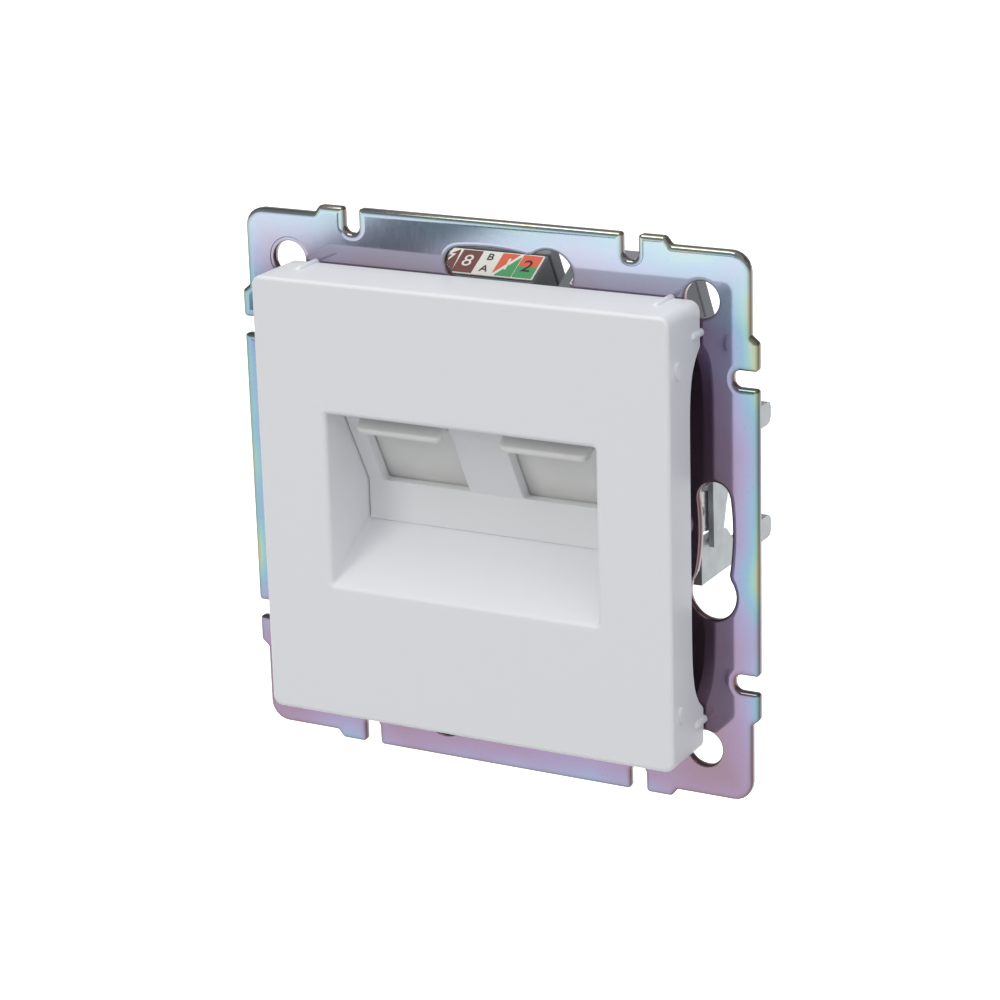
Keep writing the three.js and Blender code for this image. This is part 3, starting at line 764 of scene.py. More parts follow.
@dataclass
class MountingPlate:
    """The square steel plate with its notches, fixing slots, corner holes and claw lugs."""

    thickness: float = 1.0
    tab_half: float = 35.5
    corner_half: float = 34.5
    corner_radius: float = 2.5
    notch: tuple[float, float, float] = (18.0, 20.2, 32.25)
    step: tuple[float, float] = (23.6, 24.4)
    opening: tuple[float, float] = (20.3, 22.0)
    pitch_radius: float = 30.0
    slot_half: float = 2.1
    slot_start: float = -7.5
    slot_end: float = 15.7
    slot_softness: float = 0.7
    slot_steps: int = 44
    head_radius: float = 3.05
    head_offset: float = 0.6
    corner_hole: tuple[float, float] = (28.28, 2.3)
    screw_hole: tuple[float, float] = (24.2, 1.5)
    lug_near: float = 20.4
    lug_far: float = 23.2
    lug_depth: float = 6.0
    lug_height: float = 10.2
    lug_eye: tuple[float, float, float] = (21.4, 4.0, 0.85)
    rolled: Ease = Ease(0.75, 0.24, 6)
    pierced: Ease = Ease(0.4, 0.2, 4)
    burr: Ease = Ease(0.05, 0.05, 1)

    def outline(self) -> Corners:
        """Four equal edges, each with two notches and two narrow tabs.

        Returns:
            The plate's outer outline.
        """
        inner, outer, bottom = self.notch
        tab, step = self.step
        edge = [
            (-step, self.corner_half, 0.5),
            (-tab, self.tab_half, 0.6),
            (-outer, self.tab_half, 0.45),
            (-outer, bottom, 0.95),
            (-inner, bottom, 0.95),
            (-inner, self.tab_half, 0.45),
        ]
        edge += [(-x, z, radius) for x, z, radius in reversed(edge)]
        edge.append((self.corner_half, self.corner_half, self.corner_radius))
        points = []
        for quarter in range(4):
            cosine, sine = math.cos(quarter * math.pi / 2), math.sin(quarter * math.pi / 2)
            points += [(x * cosine + z * sine, z * cosine - x * sine, radius) for x, z, radius in edge]
        return Corners(tuple(reversed(points)), 6)

    def slot_half_width(self, along: float, inner: bool) -> float:
        """Half width of a fixing slot on one side of its pitch line.

        Args:
            along: Distance along the pitch line, clockwise from the slot's middle axis.
            inner: Whether it is the side towards the plate's centre.

        Returns:
            The half width, smooth where the slot opens into its head hole.
        """
        start = math.radians(self.slot_start) * self.pitch_radius
        end = math.radians(self.slot_end) * self.pitch_radius
        band = round_part = -1.0
        if start - self.slot_half < along < end:
            past = min(0.0, along - start)
            band = math.sqrt(max(0.0, self.slot_half**2 - past**2))
        if abs(along - end) < self.head_radius:
            shift = -self.head_offset if inner else self.head_offset
            round_part = shift + math.sqrt(self.head_radius**2 - (along - end) ** 2)
        meeting = max(self.slot_softness - abs(band - round_part), 0.0) / self.slot_softness
        return max(band, round_part) + meeting * meeting * self.slot_softness / 4

    def fixing_slot(self, quarter: int) -> FreeLoop:
        """One keyhole slot.

        Args:
            quarter: How many quarter turns it lies from the top.

        Returns:
            The slot's outline.
        """
        start = math.radians(self.slot_start) * self.pitch_radius - self.slot_half
        end = math.radians(self.slot_end) * self.pitch_radius + self.head_radius
        shares = [(1 - math.cos(math.pi * i / self.slot_steps)) / 2 for i in range(self.slot_steps + 1)]
        places = [start + (end - start) * share for share in shares]
        outer = [(along, self.slot_half_width(along, False)) for along in places[:-1]]
        inner = [(along, -self.slot_half_width(along, True)) for along in reversed(places[1:])]
        outer[0] = (start, 0.0)
        inner[0] = (end, self.head_offset)
        points = []
        for along, side in outer + inner:
            angle = along / self.pitch_radius + quarter * math.pi / 2
            radius = self.pitch_radius + side
            points.append((radius * math.sin(angle), radius * math.cos(angle)))
        return FreeLoop(tuple(points))

    def holes(self) -> list[Outline]:
        """Every hole in the sheet.

        Returns:
            Fixing slots, corner holes, screw holes and the central opening.
        """
        made: list[Outline] = [self.fixing_slot(quarter) for quarter in range(4)]
        offset, radius = self.corner_hole
        made += [Disc(x, z, radius, hole=True) for x in (-offset, offset) for z in (-offset, offset)]
        screw_x, screw_radius = self.screw_hole
        made += [Disc(x, 0, screw_radius, hole=True, steps=28) for x in (-screw_x, screw_x)]
        made.append(centred(0, 0, *self.opening, 0.6, hole=True))
        return made

    def sheet(self, mesh: Mesh) -> None:
        """Adds the flat sheet, with a wide roll on its outer edge and a narrow one round each hole.

        Args:
            mesh: The mesh to add to.
        """
        rim = mesh.verts.layers.float.new("rim")
        ends = []
        for shape in (self.outline(), *self.holes()):
            ease = self.pierced if ends else self.rolled
            stages = [(ease.inset + 3 * SUPPORT, 0.0, 0.0)]
            stages += [(inset, depth, 1 - inset / ease.inset) for inset, depth in ease.stages()]
            stages += [(inset, self.thickness - depth, 1.0) for inset, depth in reversed(self.burr.stages())]
            stages.append((self.burr.inset + SUPPORT, self.thickness, 1.0))
            rings = []
            for inset, depth, roll in stages:
                ring = [mesh.verts.new(on_wall(x, z, depth - self.thickness)) for x, z in shape.ring(inset)]
                for vertex in ring:
                    vertex[rim] = roll
                rings.append(ring)
            join_rings(mesh, rings)
            ends.append((rings[0], rings[-1]))
        for loops in zip(*ends):
            cap_off(mesh, loops)

    def lug(self, mesh: Mesh, side: int, z: float) -> None:
        """Adds one ear that carries an end of a claw's pin, folded back from the plate.

        Args:
            mesh: The mesh to add to.
            side: -1 or 1.
            z: Height of the ear's middle.
        """
        xs = sorted((side * self.lug_near, side * self.lug_far))
        front, depth = -0.3, self.lug_depth
        points = ((xs[0], front, 0.05), (xs[1], front, 0.05), (xs[1], depth, 1.1), (xs[0], depth, 0.9))
        eye_x, eye_y, eye_radius = self.lug_eye
        outlines = [Corners(points), Disc(side * eye_x, eye_y, eye_radius, hole=True, steps=24)]
        slab(mesh, outlines, z - self.thickness / 2, z + self.thickness / 2, on_top)

    def build(self) -> None:
        """Builds and dresses the plate."""
        mesh = bmesh.new()
        self.sheet(mesh)
        for _, side in SIDES:
            for z in (-self.lug_height, self.lug_height):
                self.lug(mesh, side, z)
        dress(to_object(mesh, "plate_sheet", 50), Finish.PLATE, "mechanism", "mounting_plate")


# ---- Cover ---------------------------------------------------------------------------------------------


@dataclass
class Cover:
    """The square cover: a thin shell whose front rolls into a recess with a sloping floor."""

    half: float = 28.3
    front: float = -10.2
    rear: float = -1.3
    rear_ease: float = 0.15
    wall: float = 1.4
    face: float = 1.6
    corner: float = 1.3
    edge: float = 0.48
    recess_half: float = 18.5
    recess_top: float = 11.5
    recess_edge: float = 0.7
    recess_corner: float = 0.35
    floor_rear: float = -4.85
    floor_slope: float = 0.62
    side_cut: tuple[float, float, float] = (-4.35, 22.8, 9.5)
    rib_offset: float = 24.4
    rib_radius: float = 0.5
    rib_sunk: float = 0.15
    side_rib_front: float = -3.4
    top_rib_front: float = -5.2
    pip_offset: float = 21.4
    pip_depth: float = -8.0
    pip_size: tuple[float, float, float] = (1.05, 0.7, 0.34)
    leg_place: tuple[float, float] = (12.0, 17.3)
    leg_half: tuple[float, float] = (2.2, 0.7)

    def fractions(self) -> list[float]:
        """Places along each side, closer together where the side walls' rear edge curves.

        Returns:
            Shares of the side's length, in order.
        """
        even = [i / 40 for i in range(1, 40)]
        close = [0.5 + side * (0.36 + 0.012 * i) for side in (-1, 1) for i in range(9)]
        return sorted(set(even + close))

    def perimeter(self, half: float, low: float, high: float, radius: float) -> Ring:
        """Points round a rounded rectangle.

        Args:
            half: Half its width.
            low: Height of its lower side.
            high: Height of its upper side.
            radius: Radius of its corners.

        Returns:
            As many points whatever the size, so that rings can be joined.
        """
        centres = [
            (half - radius, low + radius, -90),
            (half - radius, high - radius, 0),
            (-half + radius, high - radius, 90),
            (-half + radius, low + radius, 180),
        ]
        points: Ring = []
        for i, (x, z, start) in enumerate(centres):
            arc = [math.radians(start + 90 * k / 8) for k in range(9)]
            points += [(x + radius * math.cos(t), z + radius * math.sin(t)) for t in arc]
            next_x, next_z, next_start = centres[(i + 1) % 4]
            t = math.radians(next_start)
            a = Vector(points[-1])
            b = Vector((next_x + radius * math.cos(t), next_z + radius * math.sin(t)))
            points += [tuple(a.lerp(b, share)) for share in self.fractions()]
        return points

    def square(self, inset: float, radius: float) -> Ring:
        """The cover's outline, moved in."""
        half = self.half - inset
        return self.perimeter(half, -half, half, radius)

    def level(self, ring: Ring, depth: float) -> list[Vector]:
        """Points of a ring at one depth."""
        return [on_wall(x, z, depth) for x, z in ring]

    def row(self, ring: Ring, depths: Sequence[float]) -> list[Vector]:
        """Points of a ring, each at its own depth."""
        return [on_wall(x, z, y) for (x, z), y in zip(ring, depths)]

    def rear_edge(self, x: float, z: float) -> float:
        """Depth of the rear edge: both side walls are lower between their corners.

        Args:
            x: Place on the outline.
            z: Place on the outline.

        Returns:
            The depth there.
        """
        middle, end, power = self.side_cut
        if abs(x) < self.half - self.wall - 0.1:
            return self.rear
        return middle + (self.rear - middle) * min(1.0, abs(z) / end) ** power

    def floor(self, y: float) -> float:
        """Height of the recess floor at a depth."""
        return self.floor_rear + (y - FOLD_Y) * self.floor_slope

    def recess_ring(self, y: float, outward: float = 0.0) -> Ring:
        """The recess walls' section at a depth, with its mouth rolled open towards the front.

        Args:
            y: The depth.
            outward: How far outside the recess's surface the section lies.

        Returns:
            Points round the section.
        """
        gap = max(0.0, self.recess_edge - (y - self.front))
        rise = math.sqrt(max(0.0, self.recess_edge**2 - gap**2))
        roll = self.recess_edge - rise
        low = self.floor(y)
        bend = math.pi / 2 - math.atan(self.floor_slope)
        if y < self.front + self.recess_edge * (1 - math.cos(bend)):
            low = self.floor(self.front) - self.recess_edge * math.tan(bend / 2) + rise
        grown = outward + roll
        radius = self.recess_corner + roll + outward * 0.5
        return self.perimeter(self.recess_half + grown, low - outward, self.recess_top + grown, radius)

    def recess_rear(self, z: float) -> float:
        """Depth of the recess walls' rear edge, which stays behind the sloping insert at the sides."""
        slope = FOLD_Y - (max(z, FOLD_Z) - FOLD_Z) * math.tan(SLOPE)
        return slope - 0.2 if z > self.recess_top - 0.4 else min(1.0, slope + 1.3)

    def outside(self) -> list[list[Vector]]:
        """Goes from the rear edge up the outer walls and over the rounded front edge.

        Returns:
            Rows of points.
        """
        outer = self.square(0.0, self.corner)
        rear = [self.rear_edge(x, z) for x, z in outer]
        ease = self.rear_ease
        start = self.front + self.edge
        rows = [self.row(self.square(ease, self.corner - 0.1), rear)]
        rows += [self.row(outer, [y - back for y in rear]) for back in (ease, ease + 0.1)]
        for share in (0.35, 0.7, 0.97):
            rows.append(self.row(outer, [y - ease + (start - y + ease) * share for y in rear]))
        steps = 6
        for theta in (math.pi / 2 * step / steps for step in range(steps + 1)):
            inset = self.edge * (1 - math.cos(theta))
            ring = self.square(inset, max(0.3, self.corner - inset))
            rows.append(self.level(ring, start - self.edge * math.sin(theta)))
        rows.append(self.level(self.square(self.edge + 2 * SUPPORT, 0.3), self.front))
        return rows

    def recess(self) -> list[list[Vector]]:
        """Goes over the recess's rolled mouth and down its walls to their rear edge.

        Returns:
            Rows of points.
        """
        mouth = self.recess_ring(self.front)
        margin = 2 * SUPPORT
        low, high = min(z for _, z in mouth) - margin, max(z for _, z in mouth) + margin
        reach = max(x for x, _ in mouth) + margin
        radius = self.recess_corner + self.recess_edge + margin
        rows = [self.level(self.perimeter(reach, low, high, radius), self.front)]
        steps = 8
        for theta in (math.pi / 2 * step / steps for step in range(steps + 1)):
            depth = self.front + self.recess_edge * (1 - math.cos(theta))
            rows.append(self.level(self.recess_ring(depth), depth))
        start = self.front + self.recess_edge
        ends = [self.recess_rear(z) for _, z in self.recess_ring(start)]
        for share in (0.03, 0.25, 0.5, 0.75, 1.0):
            depths = [start + (end - start) * share for end in ends]
            rows.append([on_wall(*self.recess_ring(y)[i], y) for i, y in enumerate(depths)])
        behind = []
        for i, end in enumerate(ends):
            x, z = self.recess_ring(end, self.wall)[i]
            behind.append(on_wall(x, z, end - (0.7 if z > self.recess_top else 0.0)))
        return rows + [behind]

    def inside(self) -> list[list[Vector]]:
        """Goes over the hidden side of the face and down the inner walls to the rear edge.

        Returns:
            Rows of points.
        """
        depth = self.front + self.face
        inner = self.square(self.wall, self.corner * 0.6)
        rear = [self.rear_edge(x, z) for x, z in self.square(0.0, self.corner)]
        behind_face = self.level(self.recess_ring(depth, self.wall), depth)
        return [behind_face, self.level(inner, depth), self.row(inner, rear)]

    def rib(self, mesh: Mesh, x: float, z: float, front: float) -> None:
        """Adds a half-round rib with a round nose, which runs to the rear edge.

        Args:
            mesh: The mesh to add to.
            x: Place of its axis.
            z: Place of its axis.
            front: Where its nose ends.
        """
        radius, rear = self.rib_radius, self.rear + 0.4
        arc = [(radius * math.sin(math.radians(t)), radius * math.cos(math.radians(t))) for t in (30, 60, 90)]
        profile = [(0.0, front - radius)] + [(r, front - along) for r, along in arc]
        profile += [(r, rear + along) for r, along in reversed(arc)] + [(0.0, rear + radius)]
        lathe(mesh, profile, into_wall(x, z), 16)

    def pip(self, mesh: Mesh, x: float, z: float) -> None:
        """Adds a flat oval pip on a side wall, near the front edge, that clicks into the outer frame.

        Args:
            mesh: The mesh to add to.
            x: The side wall's place.
            z: The pip's height.
        """
        long_half, short_half, height = self.pip_size
        sunk = 0.3

        def place(radius: float, rise: float) -> Callable[[float], Vector]:
            """Places a ring of the pip."""
            along, deep, out = radius * long_half, radius * short_half, x + math.copysign(height, x) * rise
            return lambda t: on_wall(out, z + along * math.sin(t), self.pip_depth + deep * math.cos(t))

        lathe(mesh, [(0.0, 1.0), (1.0, 1.0), (1.0, -sunk), (0.0, -sunk)], place, 24)

    def legs(self) -> Piece:
        """Four friction legs that push into the carrier's slots.

        Returns:
            The legs, not yet dressed.
        """
        mesh = bmesh.new()
        leg_x, leg_z = self.leg_place
        for x in (-leg_x, leg_x):
            for z in (-leg_z, leg_z):
                outline = centred(x, z, *self.leg_half, 0.15)
                slab(mesh, [outline], self.front + 1.0, 0.8, on_wall, FINE, Ease(0.25, 0.5, 3))
        return to_object(mesh, "cover_legs")

    def build(self) -> None:
        """Builds and dresses the cover."""
        mesh = bmesh.new()
        rows = self.outside() + self.recess() + self.inside()
        join_rings(mesh, [[mesh.verts.new(point) for point in points] for points in rows], closed=True)
        for _, side in SIDES:
            axis = side * (self.half - self.rib_sunk)
            for along in (-self.rib_offset, self.rib_offset):
                self.rib(mesh, axis, along, self.side_rib_front)
                self.rib(mesh, along, axis, self.top_rib_front)
            for along in (-self.pip_offset, self.pip_offset):
                self.pip(mesh, side * self.half, along)
        dress(to_object(mesh, "cover_body_shell", 40), Finish.COVER, "cover_body", "cover")
        dress(self.legs(), Finish.COVER, "cover_body")


# ---- Port insert, shutters, springs and retainers ------------------------------------------------------


@dataclass
class PortInsert:
    """The sloping wall with the two windows, and the upright wall under it."""

    half: float = 18.35
    sheet: float = 1.5
    top: float = 14.2
    foot: float = -1.2
    window_half: float = 6.25
    window_low: float = 0.17
    window_high: float = 12.38
    rear: float = 1.0
    floor: float = -4.7
    rail_rear: float = 2.95
    rails: tuple[tuple[float, float, float], ...] = ((17.3, 18.35, 0.5), (1.05, 2.05, 12.9))

    def build(self) -> None:
        """Builds and dresses the insert."""
        mesh = bmesh.new()
        outlines: list[Outline] = [rectangle(-self.half, self.half, self.foot, self.top, 0.1)]
        for _, side in SIDES:
            x0, x1 = side * PORT_X - self.window_half, side * PORT_X + self.window_half
            window = rectangle(x0, x1, self.window_low, self.window_high, 0.35, hole=True)
            outlines.append(Corners(window.points, 4, -math.tan(SLOPE)))
        slab(mesh, outlines, 0.0, self.sheet, on_slope, Ease(0.14, 0.14, 3), FINE)
        back = rectangle(-self.half, self.half, self.floor, FOLD_Z + 0.05, 0.1)
        slab(mesh, [back], FOLD_Y, self.rear, on_wall, FINE, FINE)
        for _, side in SIDES:
            for near, far, low in self.rails:
                rail = mirrored(side, near, far, low, self.top, 0.1)
                slab(mesh, [rail], self.sheet - 0.2, self.rail_rear, on_slope, FINE, FINE)
        dress(to_object(mesh, "insert_wall"), Finish.INSERT, "cover_body", "port_insert")


@dataclass
class Shutter:
    """One dust shutter with the lip that a finger or plug pushes down, and an ear for its spring."""

    half: float = 7.1
    front: float = 1.75
    rear: float = 2.75
    bottom: float = -1.2
    top: float = 12.3
    lip_half: float = 6.05
    lip_front: float = -2.1
    lip_low: float = 10.3
    lip_high: float = 11.2
    ear_near: float = 0.6
    ear: tuple[float, float] = (5.2, 6.2)

    def build(self, name: str, side: int) -> None:
        """Builds and dresses one shutter.

        Args:
            name: left or right.
            side: -1 or 1.
        """
        mesh = bmesh.new()
        x, base = side * PORT_X, self.lip_half
        panel = rectangle(x - self.half, x + self.half, self.bottom, self.top, 0.4)
        slab(mesh, [panel], self.front, self.rear, on_slope, Ease(0.1, 0.1, 2), FINE)
        points = (
            (x - base, self.lip_front, 0.9),
            (x + base, self.lip_front, 0.9),
            (x + base, self.front + 0.4, 0.1),
            (x - base, self.front + 0.4, 0.1),
        )
        under, over = Ease(0.2, 0.2), Ease(0.32, 0.3, 4)
        slab(mesh, [Corners(points, 6)], self.lip_low, self.lip_high, across_slope, under, over)
        ear = mirrored(side, self.ear_near, PORT_X - self.half + 0.3, *self.ear, 0.25)
        slab(mesh, [ear], self.front, self.rear, on_slope, FINE, FINE)
        piece = to_object(mesh, f"shutter_panel_{name}")
        dress(piece, Finish.SHUTTER, f"shutter_{name}", f"shutter_{name}")


@dataclass
class ShutterSpring:
    """A close-wound wire spring with an eye at each end, which pulls its shutter up."""

    x: float = 1.55
    n: float = 2.3
    bottom: float = 6.55
    top: float = 12.55
    radius: float = 0.48
    wire: float = 0.13
    turns: int = 15
    eye: float = 0.45

    def at(self, side: int, across: float, deep: float, s: float) -> Vector:
        """A point of the wire, from its offsets across and into the wall."""
        return on_slope(side * self.x + across, s, self.n + deep)

    def hook(self, side: int, middle: float, start: float, turn: float) -> list[Vector]:
        """An eye of the wire.

        Args:
            side: -1 or 1.
            middle: Height of the eye's middle.
            start: Where it starts, in half turns.
            turn: How far it goes round, in half turns.

        Returns:
            Its points.
        """
        angles = [math.pi * (start + turn * step / 12) for step in range(13)]
        return [self.at(side, 0.0, self.eye * math.cos(t), middle + self.eye * math.sin(t)) for t in angles]

    def path(self, side: int) -> list[Vector]:
        """The wire's line: the lower eye, the coil, and the upper eye.

        Args:
            side: -1 or 1.

        Returns:
            Its points.
        """
        low, high = self.bottom + 2 * self.eye, self.top - 2 * self.eye
        total = self.turns * 16
        coil = []
        for step in range(total + 1):
            angle = 2 * math.pi * step / 16
            s = low + (high - low) * step / total
            coil.append(self.at(side, self.radius * math.sin(angle), self.radius * math.cos(angle), s))
        lower = self.hook(side, self.bottom + self.eye, 1.5, -1.6)
        return lower + coil + self.hook(side, self.top - self.eye, -0.1, 1.6)

    def build(self, name: str, side: int) -> None:
        """Builds and dresses one spring, which stretches between the insert and its shutter.

        Args:
            name: left or right.
            side: -1 or 1.
        """
        mesh = bmesh.new()
        tube(mesh, self.path(side), self.wire)
        piece = to_object(mesh, f"return_spring_{name}", 60)
        piece.data.materials.append(Finish.SPRING.material())
        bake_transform(piece)
        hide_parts(f"shutter_spring_{name}")
        LOG.info("%s: %d faces, stretched to shutter_%s", piece.name, len(piece.data.polygons), name)


@dataclass
class Retainer:
    """The plate that holds one shutter against the insert, with a window for the plug."""

    near: float = 0.4
    far: float = 18.35
    low: float = -11.3
    high: float = 14.2
    front: float = 3.05
    rear: float = 4.05
    window_half: float = 6.25
    window: tuple[float, float] = (1.4, 11.8)
    ribs: tuple[float, float] = (4.5, 15.5)
    rib_half: float = 0.4

    def build(self, name: str, side: int) -> None:
        """Builds and dresses one retainer.

        Args:
            name: left or right.
            side: -1 or 1.
        """
        mesh = bmesh.new()
        x0, x1 = side * PORT_X - self.window_half, side * PORT_X + self.window_half
        plate = mirrored(side, self.near, self.far, self.low, self.high, 0.5)
        slab(mesh, [plate, rectangle(x0, x1, *self.window, 0.4, hole=True)], self.front, self.rear, on_slope)
        for x in (side * place for place in self.ribs):
            rib = rectangle(x - self.rib_half, x + self.rib_half, self.low + 1.0, -0.6, 0.3)
            slab(mesh, [rib], self.rear - 0.15, self.rear + 0.5, on_slope)
        piece = to_object(mesh, f"retainer_plate_{name}")
        dress(piece, Finish.INSERT, "cover_body", f"shutter_retainer_{name}")


# ---- Claws ---------------------------------------------------------------------------------------------


@dataclass
class ClawDrive:
    """One spreading claw with its pin, screw and barrel nut."""

    pivot: tuple[float, float] = (21.4, 4.0)
    pin_radius: float = 0.8
    pin_half: float = 10.9
    screw_x: float = 24.2
    seat: float = -1.1
    head_radius: float = 2.4
    head_height: float = 1.6
    cross: tuple[float, float] = (1.75, 0.36)
    cross_depth: float = 0.95
    shank_radius: float = 1.3
    length: float = 17.0
    thread_pitch: float = 0.7
    thread_steps: int = 24

    def pin(self, name: str, side: int) -> None:
        """Builds the pivot pin, with a headed end and a peened end.

        Args:
            name: left or right.
            side: -1 or 1.
        """
        mesh = bmesh.new()
        r, h = self.pin_radius, self.pin_half
        profile = [(0.0, -h - 0.1), (r * 0.7, -h - 0.1), (r + 0.25, -h + 0.1), (r + 0.25, -h + 0.2)]
        profile += [(r, -h + 0.35), (r, h - 0.3), (r + 0.18, h - 0.2), (r + 0.15, h)]
        profile += [(r * 0.6, h + 0.1), (0.0, h + 0.1)]
        x, y = side * self.pivot[0], self.pivot[1]
        lathe(mesh, profile, lambda a, z: lambda t: on_top(x + a * math.cos(t), y + a * math.sin(t), z), 24)
        dress(to_object(mesh, f"pivot_pin_{name}"), Finish.BRIGHT, "mechanism", f"claw_pin_{name}")

    def turned_screw(self, name: str, x: float) -> Piece:
        """The screw's pan head, plain neck and core.

        Args:
            name: left or right.
            x: Place of its axis.

        Returns:
            The piece, before its slot is cut.
        """
        r, top, tip = self.head_radius, self.seat - self.head_height, self.seat + self.length
        core = self.shank_radius - 0.22
        profile = [(0.0, top), (r * 0.55, top + 0.03), (r * 0.85, top + 0.3), (r * 0.98, top + 0.7)]
        profile += [(r, self.seat - 0.3), (r - 0.1, self.seat), (self.shank_radius - 0.1, self.seat + 0.02)]
        profile += [(core, self.seat + 0.7), (core, tip - 0.6), (core * 0.6, tip), (0.0, tip)]
        mesh = bmesh.new()
        lathe(mesh, profile, into_wall(x, 0.0), 40)
        return to_object(mesh, f"claw_screw_body_{name}")

    def screw(self, name: str, side: int) -> None:
        """Builds the claw screw: its body with a crossed slot, and a rolled thread.

        Args:
            name: left or right.
            side: -1 or 1.
        """
        x = side * self.screw_x
        body = self.turned_screw(name, x)
        top = self.seat - self.head_height
        tools = []
        for i, (half_x, half_z) in enumerate((self.cross, self.cross[::-1])):
            cutter = bmesh.new()
            bottom = top + self.cross_depth + 0.02 * i
            slab(cutter, [centred(x, 0, half_x, half_z, 0.05)], top - 1.0, bottom, on_wall, FINE, FINE)
            tools.append(to_object(cutter, f"cutter_{i}"))
            cut = body.modifiers.new("slot", "BOOLEAN")
            cut.operation = "DIFFERENCE"
            cut.solver = "EXACT"
            cut.object = tools[-1]
        evaluated = body.evaluated_get(bpy.context.evaluated_depsgraph_get())
        body.data = bpy.data.meshes.new_from_object(evaluated)
        body.modifiers.clear()
        for tool in tools:
            bpy.data.objects.remove(tool)
        body.data.set_sharp_from_angle(angle=math.radians(32))
        dress(body, Finish.BRIGHT, f"claw_screw_{name}", f"claw_screw_{name}")
        thread = to_object(self.thread(x), f"claw_screw_thread_{name}", 60)
        dress(thread, Finish.BRIGHT, f"claw_screw_{name}")

    def thread(self, x: float) -> Mesh:
        """A triangular ridge that winds round the shank and fades at both ends.

        Args:
            x: Place of the screw's axis.

        Returns:
            Its mesh.
        """
        mesh = bmesh.new()
        steps = self.thread_steps
        start, end = self.seat + 1.6, self.seat + self.length - 0.9
        count = (end - start) / self.thread_pitch * steps
        foot = self.shank_radius - 0.3
        rings = []
        for i in range(int(count) + 1):
            angle = 2 * math.pi * i / steps
            y = start + self.thread_pitch * i / steps
            crest = self.shank_radius - 0.25 + 0.25 * min(1.0, i / steps, (count - i) / steps)
            section = ((foot, -0.26), (crest, -0.04), (crest, 0.04), (foot, 0.26), (foot - 0.2, 0.0))
            ring = []
            for radius, shift in section:
                point = on_wall(x + radius * math.cos(angle), radius * math.sin(angle), y + shift)
                ring.append(mesh.verts.new(point))
            rings.append(ring)
        join_rings(mesh, rings)
        for ring in (rings[0], rings[-1]):
            mesh.faces.new(ring)
        return mesh

    def build(self, name: str, side: int) -> None:
        """Builds and dresses the claw and its fittings.

        Args:
            name: left or right.
            side: -1 or 1.
        """
        claw = softened(f"claw_{name}", f"claw_sheet_{name}", 0.16, 3)
        dress(claw, Finish.CLAW, f"claw_{name}", f"claw_{name}")
        nut = softened(f"claw_nut_{name}", f"barrel_nut_{name}", 0.15, 2)
        dress(nut, Finish.BRIGHT, f"claw_nut_{name}", f"claw_nut_{name}")
        self.pin(name, side)
        self.screw(name, side)


# ---- Jacks ---------------------------------------------------------------------------------------------


